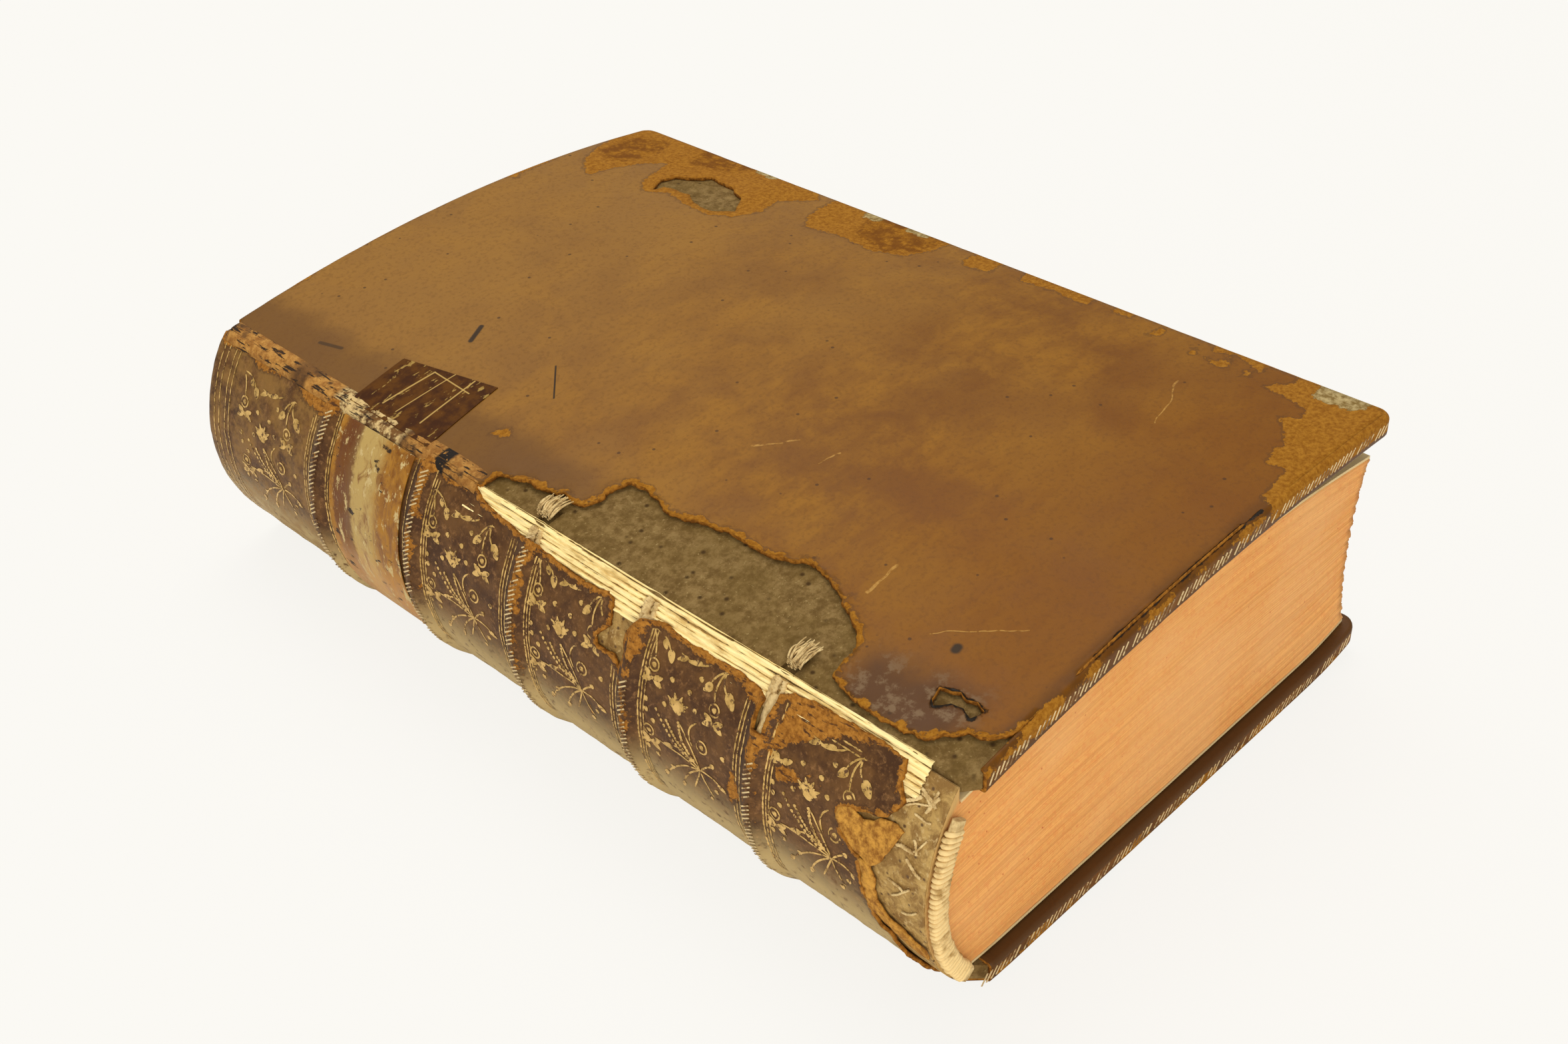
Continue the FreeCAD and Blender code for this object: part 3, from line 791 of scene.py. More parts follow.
brown_patches = [
    [(43.2, 90.4), (46.1, 95.6), (58.6, 96.2), (62.0, 88.5), (54.8, 85.0), (46.1, 86.0)],
    [(56.0, 76.0), (67, 80.0), (67, 62.0), (58.0, 66.0)],
    [(53.0, 22.0), (62.0, 26.0), (67, 24.0), (67, 6.0), (56.0, 7.0), (51.5, 12.0)],
    [(-41.5, -42.0), (-37.0, -41.0), (-34.5, -47.6), (-36.5, -55.5), (-40.5, -52.0), (-41.6, -47.0)],
]
bare_patches = [
    [(59.4, -86.1), (66.5, -84.6), (66.5, -96.4), (60.3, -94.2)],
    [(62.0, 27.9), (66.5, 28.4), (66.5, 23.1), (62.5, 23.6)],
    [(62.7, 16.3), (66.5, 16.8), (66.5, 10.6), (63.0, 10.6)],
    [(63.5, 62.0), (66.5, 63.0), (66.5, 55.0), (63.0, 56.0)],
]


def upper_layers(points):
    p = np.asarray(points)
    side = p[:, 2] < upper_face(p[:, 0], p[:, 1]) - 3.4
    suede = np.max([depth_in(p, patch) for patch in suede_patches], 0)
    tear = np.minimum(away(p, torn_line), away(p, head_hole + head_hole[:1]))
    suede = np.maximum(suede, 0.7 + 1.6 * np.maximum(mottle_flat(p, 3.4, 23), -0.2) - tear)
    edge = np.minimum(np.minimum(fore_x - p[:, 0], half_length - np.abs(p[:, 1])), 8)
    rub = mottle_flat(p, 9.0, 6)
    wall = np.clip(upper_face(p[:, 0], p[:, 1]) - p[:, 2], 0, 3) / 3
    suede = np.maximum(suede, 0.75 + 1.5 * rub - 1.6 * edge - 1.5 * wall)
    brown = np.max([depth_in(p, patch) for patch in brown_patches], 0)
    bare = np.max([depth_in(p, patch) for patch in bare_patches], 0)
    # painted shadow: a near-black line along the gap at the tail edge and round the corner hole stands for
    # the shadow inside the crack
    crack = np.where((p[:, 0] > -24) & (p[:, 0] < 24), 0.45 - np.abs(-98.9 - p[:, 1]) * 1.5, -2)
    crack = np.maximum(crack, 0.35 - away(p, corner_hole + corner_hole[:1]))
    # the turned-in faces inside the board are marked for painted shade
    return {"suede": np.where(side, -3, suede), "brown": np.where(side, -3, brown),
            "bare": np.where(side, -3, bare), "crack": np.where(side, -3, crack),
            "inner": np.where(side, 1.0, 0.0)}


calf, place = finish("polished_calf", Specular_IOR_Level=0.12)
fray = place.cloud(1.5, 5.0, 0.7) * 3.6 - 1.8
grain = place.cloud(0.45, 4.0, 0.65)
mottled = place.cloud(18, 6.0, 0.62, 0.4)
veil = place.stretched((1, 2.6, 1), 0.5).cloud(7, 5.0, 0.6)
tone = mottled.between(0.34, 0.66).blend((0.165, 0.058, 0.0022), (0.268, 0.112, 0.0070))
tone = (veil.between(0.42, 0.66) * 0.42).blend(tone, (0.150, 0.050, 0.0030))
tone = (place.cloud(46, 3.0).between(0.42, 0.62) * 0.45).blend(tone, (0.270, 0.120, 0.012))
# painted sheen: the calf is made paler towards the head, the far end, in place of the reflection of the
# bright room at a grazing angle
painted_far_sheen = (place.axis("Y") + place.cloud(22, 4.0) * 0.05).between(-0.035, 0.095) * 0.55
tone = painted_far_sheen.blend(tone, (0.285, 0.145, 0.030))
golden = (1 - (place.axis("Y") + place.cloud(25, 4.0) * 0.04).between(-0.075, -0.010)) * 0.75
tone = golden.blend(tone, (0.178, 0.058, 0.0012))
tone = (place.cloud(0.9, 3.0, 0.6).between(0.48, 0.68) * 0.30).blend(tone, (0.115, 0.040, 0.003))
near_joint = 1 - (place.axis("X") + place.cloud(12, 3.0) * 0.012).between(-0.0400, -0.0310)
tone = (near_joint * place.axis("Y").between(-0.030, 0.012) * 0.7).blend(tone, (0.115, 0.048, 0.009))
flap = near_joint * (1 - place.axis("Y").between(-0.073, -0.066)) * place.axis("Y").between(-0.095, -0.088)
tone = (flap * 0.9).blend(tone, (0.080, 0.032, 0.009))
bloom = flap * place.cloud(4, 5.0, 0.7).between(0.5, 0.62) * 0.7
tone = bloom.blend(tone, (0.22, 0.145, 0.080))
tone = (place.specks(5.2, 0.05, 0.085) * 0.75).blend(tone, (0.055, 0.022, 0.005))
tone = (place.specks(2.3, 0.03, 0.07) * 0.5).blend(tone, (0.07, 0.03, 0.006))
drift = place.node("ShaderNodeTexNoise", {}, {"Vector": place, "Scale": 130.0}, 1)
drift = place.node("ShaderNodeVectorMath", {"operation": "SCALE"}, {0: drift, 3: 0.0035})
wavy = place.node("ShaderNodeVectorMath", {"operation": "ADD"}, {0: place, 1: drift})
scratches = wavy.line((-32.2, -57.6), (-24.5, -57.8), 0.6)
for start, end, width in (((-33.2, -73.2), (-23.0, -85.5), 0.25), ((-16.0, -15.5), (-10.2, -21.0), 0.4),
                          ((35.0, -68.5), (50.5, -62.5), 0.3), ((-12.0, -28.6), (-8.0, -29.4), 0.4)):
    scratches = scratches.most(wavy.line(start, end, width))
tone = (scratches * place.cloud(0.8, 3.0).between(0.3, 0.6) * 0.5).blend(tone, (0.60, 0.34, 0.08))
marks = place.line((-27.9, 51.9), (-23.4, 54.0), 1.1).most(place.line((-30.4, 23.8), (-23.3, 31.3), 0.35))
marks = marks.most(place.line((-46.4, 77.8), (-45.0, 72.4), 0.9) * 0.7)
spot = place.line((-35.4, -80.1), (-34.8, -80.0), 1.7)
tone = marks.most(spot).blend(tone, (0.035, 0.018, 0.006))
tail_shade = (1 - place.axis("Y").between(-0.0990, -0.0955)) * place.cloud(14, 4.0).between(0.34, 0.55)
tone = (tail_shade * 0.75).blend(tone, (0.085, 0.030, 0.0030))
suede = (attribute(place, "suede") + fray).between(-0.12, 0.18)
rim_dark = (attribute(place, "suede") + fray).between(-0.75, -0.2) - suede
brown = (attribute(place, "brown") + fray * 1.6).between(-1.0, 1.2)
bare = (attribute(place, "bare") + fray).between(-0.1, 0.15)
crack = (attribute(place, "crack") + place.cloud(2.6, 4.0) * 2.4 - 1.2).between(-0.1, 0.25)
nap = place.cloud(0.8, 5.0, 0.7)
orange = nap.between(0.3, 0.7).blend((0.215, 0.076, 0.004), (0.375, 0.165, 0.016))
worn = (brown * place.cloud(3.0, 5.0, 0.7).between(0.36, 0.6)).blend(orange, (0.165, 0.058, 0.006))
board_tone = place.cloud(1.2, 6.0, 0.7).between(0.35, 0.65).blend((0.20, 0.125, 0.035), (0.46, 0.35, 0.16))
tone = (rim_dark * 0.55).blend(tone, (0.095, 0.038, 0.006))
tone = suede.blend(tone, worn)
tone = bare.blend(tone, board_tone)
# painted shadow inside the cracks, near black
tone = crack.blend(tone, (0.012, 0.007, 0.003))
# painted shade: the turned-in calf inside the boards is darkened as if shaded by the board
tone = (attribute(place, "inner") * 0.9).blend(tone, (0.085, 0.038, 0.012))
rough = mottled.between(0.3, 0.7) * 0.12 + 0.40
rough = rough + suede * 0.42 + bare.most(brown * suede) * 0.1 + bloom * 0.3
height = grain * 0.25 + nap * suede * 0.55 - suede * 0.35 - bare * 0.5 - crack * 1.2 + veil * 0.25
wire(calf, relief=(height - scratches * 0.3 - marks * 0.2, 0.16), Base_Color=tone, Roughness=rough.least(1.0))

torn_edge, place = finish("torn_calf_edge", Roughness=0.9, Specular_IOR_Level=0.15)
tone = place.cloud(0.9, 4.0).between(0.35, 0.65).blend((0.14, 0.048, 0.004), (0.36, 0.145, 0.016))
wire(torn_edge, relief=(place.cloud(0.5, 4.0), 0.15), Base_Color=tone)

walk, rim, rim_faces = cover_skin(1, upper_face)
lip = ragged(torn_line, 0.40, 0.62, 3)
outline = [p for p, _ in walk] + [(-54.8, 96.0), (-54.8, 60.0)] + lip
start = next(i for i, (p, _) in enumerate(walk) if p[0] > lip[-1][0] + 0.5)
outline = outline[start:]
holes = [ragged(corner_hole + corner_hole[:1], 0.4, 0.3, 5)[:-1],
         ragged(head_hole + head_hole[:1], 0.5, 0.5, 7)[:-1]]
top_flat, top_faces = fill(outline, holes, 1.05)
lift = np.exp(-away(top_flat, lip) / 1.5) * (0.42 + 0.5 * mottle_flat(top_flat, 5.0, 2))
lift += 0.35 * np.exp(-away(top_flat, holes[0] + holes[0][:1]) / 0.9)
lift += 0.5 * np.exp(-((top_flat[:, 1] + 98.8) / 0.7) ** 2) * ((top_flat[:, 0] > -28) & (top_flat[:, 0] < 18))
lift *= np.where(top_flat[:, 0] < -54.3, 0.2, 1)
upper_calf = join_cover("upper_cover_calf", 1, top_flat, top_faces, np.maximum(lift, -0.05), rim, rim_faces,
                        [calf, torn_edge], upper_layers)
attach(upper_calf, "upper_cover")
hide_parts("upper_leather")


def lower_layers(points):
    p = np.asarray(points)
    side = p[:, 2] > lower_face(p[:, 0], p[:, 1]) + 3.8
    edge = np.minimum(np.minimum(fore_x - p[:, 0], half_length - np.abs(p[:, 1])), 8)
    rub = mottle_flat(p, 8.0, 9)
    suede = 0.5 + 1.5 * rub - 1.5 * edge - 0.9 * np.clip(p[:, 2] - lower_face(p[:, 0], p[:, 1]), 0, 3) / 3
    # the turned-in faces inside the lower board are marked for painted shade
    return {"suede": np.where(side, -3, suede), "brown": 0 * edge - 3, "bare": 0 * edge - 3,
            "crack": 0 * edge - 3, "inner": np.where(side, 1.0, 0.0)}


walk, rim, rim_faces = cover_skin(-1, lower_face)
outline = [p for p, _ in walk] + [(-51.8, 96.0), (-51.8, 0.0), (-51.8, -96.0)]
top_flat, top_faces = fill(outline, [], 2.4)
lower_calf = join_cover("lower_cover_calf", -1, top_flat, top_faces, np.zeros(len(top_flat)), rim, rim_faces,
                        [calf, torn_edge], lower_layers)
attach(lower_calf, "lower_cover")
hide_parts("lower_leather")


# The calf of the back: purple-brown, drawn over the cords into five raised bands, turned
# over the headband at the head, torn off along the upper joint and at the tail.
def on_bands(u, y):
    tall = 1.7 - 1.25 * ((u - 28) / 28) ** 2
    return tall * sum(np.exp(-np.abs((y - band) / 1.9) ** 2.6) for band in cord_y)


def lay_back(flat, proud=0.0):
    flat = np.asarray(flat, dtype=float)
    u, y = flat[:, 0], flat[:, 1]
    past = np.clip(y - 98.9, 0, None)
    bend = np.clip(past / 0.8, 0, math.pi / 2)
    swell = 0.16 * mottle(np.c_[u, y, 0 * u], 9.0, 12) + 0.07 * mottle(np.c_[u, y, 0 * u], 2.6, 13)
    r = spine_radius - 0.05 + on_bands(u, y) + np.maximum(swell, -0.12) + proud
    r = r - 0.8 * (1 - np.cos(bend)) - np.clip(past - 0.4 * math.pi, 0, None)
    return on_back(u, np.minimum(y, 98.9) + 0.8 * np.sin(bend), r)


joint_tear = [(0.0, 17.6), (0.8, 16.9), (2.1, 14.0), (2.9, 9.0), (3.8, 2.3), (3.5, 0.2), (4.2, -5.2),
              (4.6, -10.2), (5.0, -15.2), (4.2, -21.0), (5.0, -22.7), (9.2, -23.5), (12.5, -20.9),
              (14.0, -21.6), (13.8, -26.0), (15.6, -27.2), (13.3, -28.5), (8.3, -27.4), (5.0, -30.2),
              (3.5, -35.2), (4.2, -41.0), (4.2, -46.0), (3.8, -51.0), (4.2, -56.0), (5.2, -59.0),
              (10.8, -59.3), (10.8, -61.4), (3.6, -62.0), (2.1, -64.0), (1.5, -69.3), (1.5, -76.0),
              (1.2, -82.7), (1.4, -87.9)]
tail_tear = [(1.4, -87.9), (5.0, -88.5), (7.9, -90.4), (11.5, -88.5), (13.3, -83.1), (15.2, -78.9),
             (19.0, -80.2), (21.7, -84.6), (26.7, -85.2), (33.3, -87.2), (36.7, -89.8), (41.7, -91.4),
             (48.0, -92.2), (back_width, -92.6)]
head_cap = 98.9 + 0.4 * math.pi + 3.3
torn = ragged(joint_tear + tail_tear[1:], 0.4, 0.32, 21)
outline = torn + [(back_width, y) for y in np.arange(-91, head_cap, 2.0)]
outline += [(u, head_cap) for u in np.arange(back_width, 0.01, -2.0)]
outline += [(0.0, y) for y in np.arange(head_cap, 18.0, -1.5)]
scab = [[(5.6, -64.0), (8.5, -63.2), (14.5, -62.8), (13.0, -64.2), (9.6, -66.8), (6.2, -72.3), (3.6, -76.5),
         (2.6, -81.0), (1.0, -80.0), (1.0, -70.0), (2.0, -64.0)],
        [(3.8, -34.3), (5.2, -42.7), (5.0, -49.3), (5.5, -54.3), (7.6, -59.3), (2.0, -59.0), (2.0, -33.0)],
        [(0.0, 38.0), (2.4, 36.5), (1.6, 30.0), (2.6, 24.0), (1.8, 17.5), (0.0, 17.0)],
        [(0.0, 100.0), (2.6, 98.0), (1.6, 90.0), (3.2, 84.0), (1.4, 76.0), (0.0, 75.0)],
        [(0.0, 72.0), (3.6, 70.0), (4.8, 63.0), (3.2, 58.6), (0.0, 58.0)],
        [(12.5, -72.0), (14.2, -71.0), (13.8, -66.5), (15.5, -65.0), (17.5, -65.8), (16.0, -69.0)],
        [(20.0, -56.0), (27.0, -57.5), (29.0, -55.0), (26.0, -54.5)]]


def back_layers(flat):
    flat = np.asarray(flat, dtype=float)
    u, y = flat[:, 0], flat[:, 1]
    rise = on_bands(u, y) / (1.7 - 1.25 * ((u - 28) / 28) ** 2)
    rub = mottle(np.c_[u, y, 0 * u], 4.0, 17)
    crest = np.clip(rise, 0, 1) * (0.9 - u / 52) - 0.35 * (y > 40) - 0.25 * np.clip((u - 28) / 10, 0, 1)
    near = away(flat, joint_tear + tail_tear[1:])
    patch = np.max([depth_in(flat, p) for p in scab], 0)
    suede = np.maximum(np.maximum(0.8 - near, patch), 2.2 * (crest - 0.50) + 1.1 * rub)
    suede = np.maximum(suede, 1.0 - 0.8 * u + rub)
    # painted shadow: a dark line just on the head side of each raised band, standing for the shade the band
    # casts
    flank = np.zeros(len(flat))
    for band in cord_y:
        flank = np.maximum(flank, np.exp(-((y - band - 2.6) / 0.9) ** 2))
    return {"suede": suede, "rise": rise, "flank": flank, "down": u / back_width, "near": np.minimum(near, 9)}


back_calf, place = finish("purple_brown_calf", Specular_IOR_Level=0.18)
fray = place.cloud(1.3, 5.0, 0.7) * 3.4 - 1.7
grain = place.cloud(0.5, 5.0, 0.7)
suede = (attribute(place, "suede") + fray).between(-0.12, 0.2)
dark_line = (attribute(place, "suede") + fray).between(-0.7, -0.15) - suede
tone = place.cloud(6, 6.0, 0.65).between(0.36, 0.64).blend((0.058, 0.022, 0.006), (0.128, 0.056, 0.014))
tone = place.cloud(1.1, 5.0, 0.7).between(0.5, 0.72).blend(tone, (0.22, 0.105, 0.035))
# painted shadow on the head side of each raised band
tone = (attribute(place, "flank") * 0.6).blend(tone, (0.036, 0.015, 0.006))
# painted reflection: the lower part of the back, turning towards the floor, is made pale as if it reflected
# the pale floor
low = attribute(place, "down").between(0.46, 0.72) * 0.85
tone = (low * place.cloud(1.8, 5.0).between(0.26, 0.46)).blend(tone, (0.52, 0.38, 0.16))
rubbed_head = place.axis("Y").between(0.061, 0.064) * place.cloud(5, 6.0, 0.7).between(0.38, 0.62) * 0.7
tone = rubbed_head.blend(tone, (0.27, 0.140, 0.032))
tone = (dark_line * 0.6).blend(tone, (0.05, 0.02, 0.006))
nap = place.cloud(0.9, 5.0, 0.7)
worn = nap.between(0.32, 0.68).blend((0.200, 0.070, 0.006), (0.42, 0.180, 0.025))
worn = place.stretched((1, 0.28, 1)).cloud(0.7, 5.0).between(0.55, 0.64).blend(worn, (0.075, 0.028, 0.008))
tone = suede.blend(tone, worn)
wire(back_calf, relief=(grain * 0.35 + nap * suede * 0.5 - suede * 0.4, 0.16), Base_Color=tone,
     Roughness=suede * 0.30 + grain * 0.2 + 0.40)
top_flat, top_faces = fill(outline, [], 0.85)
curl = (0.30 + 0.35 * mottle_flat(top_flat, 4.0, 19)) * np.exp(-away(top_flat, torn) / 1.1)
back = mesh_piece("back_calf", lay_back(top_flat, np.maximum(curl, 0)), [f[::-1] for f in top_faces],
                  [back_calf, torn_edge], back_layers(top_flat))
thicken(back, 0.6)
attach(back, "block")
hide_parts("spine_leather")


# Gold tooling of the back: fillets beside each band and a sprig of flowers in each panel,
# struck with hand tools in gold leaf that now survives in patches.
gold, place = finish("worn_gold_leaf", Specular_IOR_Level=0.3)
keeps = place.cloud(1.0, 5.0, 0.7, 0.3)
bare_gold = keeps.between(0.405, 0.47) * (1 - attribute(place, "down").between(0.66, 0.95) * 0.5)
tone = place.cloud(2.0, 4.0).between(0.35, 0.65).blend((0.42, 0.25, 0.060), (0.70, 0.45, 0.145))
tone = bare_gold.blend((0.10, 0.045, 0.017), tone)
wire(gold, Base_Color=tone, Metallic=bare_gold * 0.35, Roughness=0.75 - bare_gold * 0.33)


def stroke(path, width, step=0.45):
    path = np.asarray(path, dtype=float)
    gaps = np.r_[0, np.cumsum(np.linalg.norm(np.diff(path, axis=0), axis=1))]
    count = max(3, int(gaps[-1] / step) + 1)
    at = np.linspace(0, gaps[-1], count)
    line = np.c_[np.interp(at, gaps, path[:, 0]), np.interp(at, gaps, path[:, 1])]
    run = np.gradient(line, axis=0)
    side = np.c_[-run[:, 1], run[:, 0]] / np.maximum(np.linalg.norm(run, axis=1), 1e-9)[:, None]
    half = np.interp(np.linspace(0, 1, count), [0, 0.12, 0.88, 1], [0.35, 1, 1, 0.35])[:, None] * width / 2
    points = np.concatenate([line - side * half, line + side * half])
    return points, [(i, i + 1, i + 1 + count, i + count) for i in range(count - 1)]


def bend(*marks):
    marks = np.asarray(marks, dtype=float)
    if len(marks) < 3:
        return marks
    t = np.linspace(0, 1, 14)[:, None]
    return marks[0] * (1 - t) ** 2 + 2 * marks[1] * t * (1 - t) + marks[2] * t ** 2


def blot(a, u, long, wide, turn):
    t = np.linspace(0, 2 * math.pi, 12, endpoint=False)
    shape = np.c_[long * np.cos(t), wide * np.sin(t) * (1 - 0.35 * np.cos(t))]
    c, s = math.cos(turn), math.sin(turn)
    ring = shape @ np.array([[c, s], [-s, c]]) + (a, u)
    return np.concatenate([ring, [(a, u)]]), [(i, (i + 1) % 12, 12) for i in range(12)]


def ring(a, u, radius):
    t = np.linspace(0, 2 * math.pi, 17)
    return stroke(np.c_[a + radius * np.cos(t), u + radius * np.sin(t)], 0.34, 0.3)


def blossom(a, u, parts):
    parts += [ring(a, u, 1.15), blot(a, u, 0.55, 0.5, 0)]
    for turn in (0.45, 2.7, -0.55, 3.65):
        parts.append(blot(a - 0.3 + 1.5 * math.cos(turn), u + 2.5 + 1.1 * math.sin(turn), 1.15, 0.6, turn))
    parts.append(blot(a - 0.3, u + 2.5, 0.4, 0.4, 0))


def sprig():
    parts = []
    for marks in (((10.0, 5.0), (10.4, 7.5), (8.4, 8.8)), ((9.4, 5.2), (11.2, 5.2), (12.4, 8.0)),
                  ((10.0, 5.0), (11.6, 8.0), (10.6, 11.4)), ((27.3, 5.2), (25.6, 6.8), (25.2, 9.8)),
                  ((27.0, 5.0), (24.0, 5.0), (22.4, 7.2)), ((20.2, 6.4), (16.5, 7.6), (13.4, 5.4)),
                  ((14.2, 21.6), (16.4, 18.6), (13.6, 16.6)), ((12.2, 25.8), (15.4, 20.4), (17.8, 18.6)),
                  ((12.2, 25.8), (17.2, 22.6), (19.6, 24.8)), ((12.2, 25.8), (18.6, 25.0), (23.6, 25.4)),
                  ((12.2, 25.8), (18.0, 27.0), (21.4, 32.6)), ((12.2, 25.8), (15.6, 28.0), (17.2, 32.0)),
                  ((12.2, 25.8), (13.2, 28.8), (14.4, 31.4)), ((12.2, 25.8), (11.4, 28.6), (9.4, 30.4)),
                  ((12.2, 25.8), (9.6, 25.4), (7.8, 26.4)), ((12.0, 25.6), (10.4, 23.6), (9.2, 23.4))):
        parts.append(stroke(bend(*marks), 0.36))
    for a, u, long, wide, turn in ((7.6, 9.4, 1.6, 0.95, 2.3), (12.8, 9.2, 1.3, 0.8, 0.8),
                                   (22.0, 8.0, 1.2, 0.8, 1.9), (16.8, 6.6, 1.6, 0.5, 0.3),
                                   (19.6, 7.2, 1.3, 0.5, 0.5), (23.9, 6.6, 0.9, 0.6, 2.2),
                                   (20.2, 24.9, 1.3, 0.55, 0.3), (7.0, 27.0, 1.2, 0.5, 2.8),
                                   (22.0, 33.2, 1.2, 0.5, 1.1), (17.4, 32.8, 1.0, 0.45, 1.2)):
        parts.append(blot(a, u, long, wide, turn))
    blossom(10.4, 12.4, parts)
    blossom(25.2, 11.0, parts)
    blossom(24.9, 24.2, parts)
    parts += [ring(11.9, 20.6, 1.25), blot(11.9, 20.6, 0.5, 0.5, 0)]
    for k in range(9):
        turn = -2.9 + k * 0.34
        long = 2.9 if k % 2 else 2.1
        parts.append(blot(18.4 + 0.5 * long * math.cos(turn), 16.2 + 0.5 * long * math.sin(turn),
                          long / 2, 0.42, turn))
    parts.append(blot(18.4, 16.3, 1.2, 1.0, 0))
    for a, u in ((14.5, 14.6), (21.4, 16.8), (9.4, 23.2), (23.8, 21.6), (25.6, 20.0), (25.9, 18.0),
                 (7.0, 20.2), (8.6, 28.6), (10.2, 31.2), (23.2, 29.0), (25.6, 28.4), (19.8, 30.0),
                 (14.6, 8.6), (16.4, 12.0), (20.6, 11.6)):
        parts.append(blot(a, u, 0.55, 0.5, 0))
    for marks in (((12.6, 25.2), (17.0, 23.2), (17.8, 18.8)), ((12.8, 25.4), (18.0, 23.4), (20.6, 19.8)),
                  ((12.8, 25.6), (19.0, 24.4), (23.2, 18.8))):
        for a, u in bend(*marks)[2::1]:
            parts.append(blot(a, u, 0.34, 0.34, 0))
    return parts


def gilt_piece(name, parts):
    flat, faces = [], []
    for points, quads in parts:
        start = sum(len(p) for p in flat)
        flat.append(np.asarray(points)[:, ::-1])
        faces += [tuple(i + start for i in q) for q in quads]
    flat = np.concatenate(flat)
    placed = lay_back(flat, 0.075)
    fixed = []
    for f in faces:
        a, b, c = placed[list(f[:3])]
        out = placed[f[0]] - (spine_x, placed[f[0]][1], spine_z)
        fixed.append(f if np.cross(b - a, c - a) @ out > 0 else f[::-1])
    piece = mesh_piece(name, placed, fixed, [gold], {"down": flat[:, 0] / back_width})
    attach(piece, "block")


def spared(parts, y0, keep):
    kept = []
    for points, quads in parts:
        placed = np.asarray(points) + (y0, 0)
        middle = placed.mean(0)[::-1]
        if keep(middle):
            kept.append((placed, quads))
    return kept


def whole(m):
    kept = inside([m], outline)[0] and away([m], torn)[0] > 0.9 and m[0] < 45
    return kept and max(depth_in([m], p)[0] for p in scab) < 0.1


for number, y0 in enumerate((-90.75, -60.5, -30.25, 0.0, 61.5), 1):
    gilt_piece("gilt_sprig_%d" % number, spared(sprig(), y0, whole))
fillets = []
for band in cord_y:
    for off in (-4.0, -3.3, -2.7, 2.9, 3.8, 4.5):
        if band + off > 34 and band + off < 57:
            continue
        for u0 in np.arange(1.0, 43, 2.0):
            fillets.append(stroke([(band + off, u0), (band + off, u0 + 2.0)], 0.30))
for u0 in (4.4, 5.3):
    for y in np.arange(-80, -65, 2.0):
        fillets.append(stroke([(y, u0), (y + 2.0, u0)], 0.3))
for y in (92.0, 93.4, 95.6, 97.2):
    for u0 in np.arange(2.0, 46, 2.0):
        fillets.append(stroke([(y, u0), (y, u0 + 2.0)], 0.3))
gilt_piece("gilt_fillets", spared(fillets, 0.0, whole))


# Gold roll, a row of slanted ticks pressed with a wheel and half rubbed away: along the
# crest of each band, and along the tail edge of both boards.
def ticks(name, path, long, wide, spacing, upright):
    def shape(add, given, copies):
        bar = add("GeometryNodeMeshCube")
        chance = add("FunctionNodeRandomValue", data_type="BOOLEAN")
        return [(given["Size"], bar.inputs["Size"]), (given["Kept"], chance.inputs["Probability"]),
                (given["Seed"], chance.inputs["Seed"]), (chance.outputs[3], copies["Selection"]),
                (bar.outputs["Mesh"], copies["Instance"])]

    proud = 0.10
    piece = set_along(name, path, (
        ("Size", "Vector", (proud * 0.001, long * 0.001, wide * 0.001)), ("Lean", "Float", 0.62),
        ("Spacing", "Float", spacing * 0.001), ("Upright", "Vector", upright), ("Kept", "Float", 0.9),
        ("Seed", "Int", 5), ("Finish", "Material", rubbed)), shape)
    return piece


rubbed, place = finish("rubbed_roll", Specular_IOR_Level=0.35)
keeps = place.cloud(2.2, 5.0, 0.7).between(0.42, 0.52)
tone = keeps.blend((0.20, 0.10, 0.03), (0.66, 0.50, 0.25))
wire(rubbed, Base_Color=tone, Metallic=keeps * 0.25, Roughness=0.7 - keeps * 0.25)
for number, band in enumerate(cord_y, 1):
    u = np.arange(16.5 if band < -20 else 3.0, 44, 0.5)
    path = lay_back(np.c_[u, np.full(len(u), band)], 0.02)
    roll = ticks("band_roll_%d" % number, path, 2.1, 0.28, 0.95, (0, 1, 0))
    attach(roll, "block")
for side, face_z, seat in ((1, upper_face, "upper_cover"), (-1, lower_face, "lower_cover")):
    x = np.arange(-50.5, 63.0, 0.8)
    z = face_z(x, np.full(len(x), -half_length)) - side * cover * 0.52
    roll = ticks("tail_edge_roll_%s" % seat, np.c_[x, np.full(len(x), -half_length + 0.03), z],
                 2.5, 0.42, 1.25, (0, 0, 1))
    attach(roll, seat)


# Scraps left at the tail of the back: a chip of orange calf and a strip that hang on the
# lining, and loose ends of the linen thread.
def scrap(name, shape, r, thick, seed):
    flat, faces = fill(ragged(shape + shape[:1], 0.4, 0.25, seed)[:-1], [], 0.6)
    swell = 0.25 * mottle_flat(flat, 2.5, seed)
    piece = mesh_piece(name, on_back(flat[:, 0], flat[:, 1], r + swell), [f[::-1] for f in faces], [chipped])
    thicken(piece, thick, 0)
    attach(piece, "block")


chipped, place = finish("flayed_calf", Roughness=0.85, Specular_IOR_Level=0.2)
tone = place.cloud(1.3, 6.0, 0.7).between(0.32, 0.66).blend((0.235, 0.085, 0.010), (0.62, 0.31, 0.050))
wire(chipped, relief=(place.cloud(0.8, 5.0, 0.7), 0.3), Base_Color=tone)
scrap("flayed_chip", [(12.5, -91.8), (11.7, -90.2), (12.1, -87.2), (13.4, -86.0), (14.2, -83.9),
                      (13.6, -81.0), (14.6, -78.9), (16.7, -78.6), (20.0, -81.0), (20.8, -83.1),
                      (22.1, -86.4), (20.0, -88.5), (16.7, -89.8)], spine_radius + 0.15, 0.45, 31)
scrap("flayed_strip", [(21.7, -86.4), (21.8, -84.3), (25.0, -85.2), (29.2, -85.2), (32.3, -87.0),
                       (33.9, -90.0), (36.5, -93.9), (37.0, -97.8), (34.8, -97.6), (33.0, -93.7),
                       (31.0, -89.6), (28.3, -88.1), (24.2, -87.8)], spine_radius + 0.2, 0.5, 37)


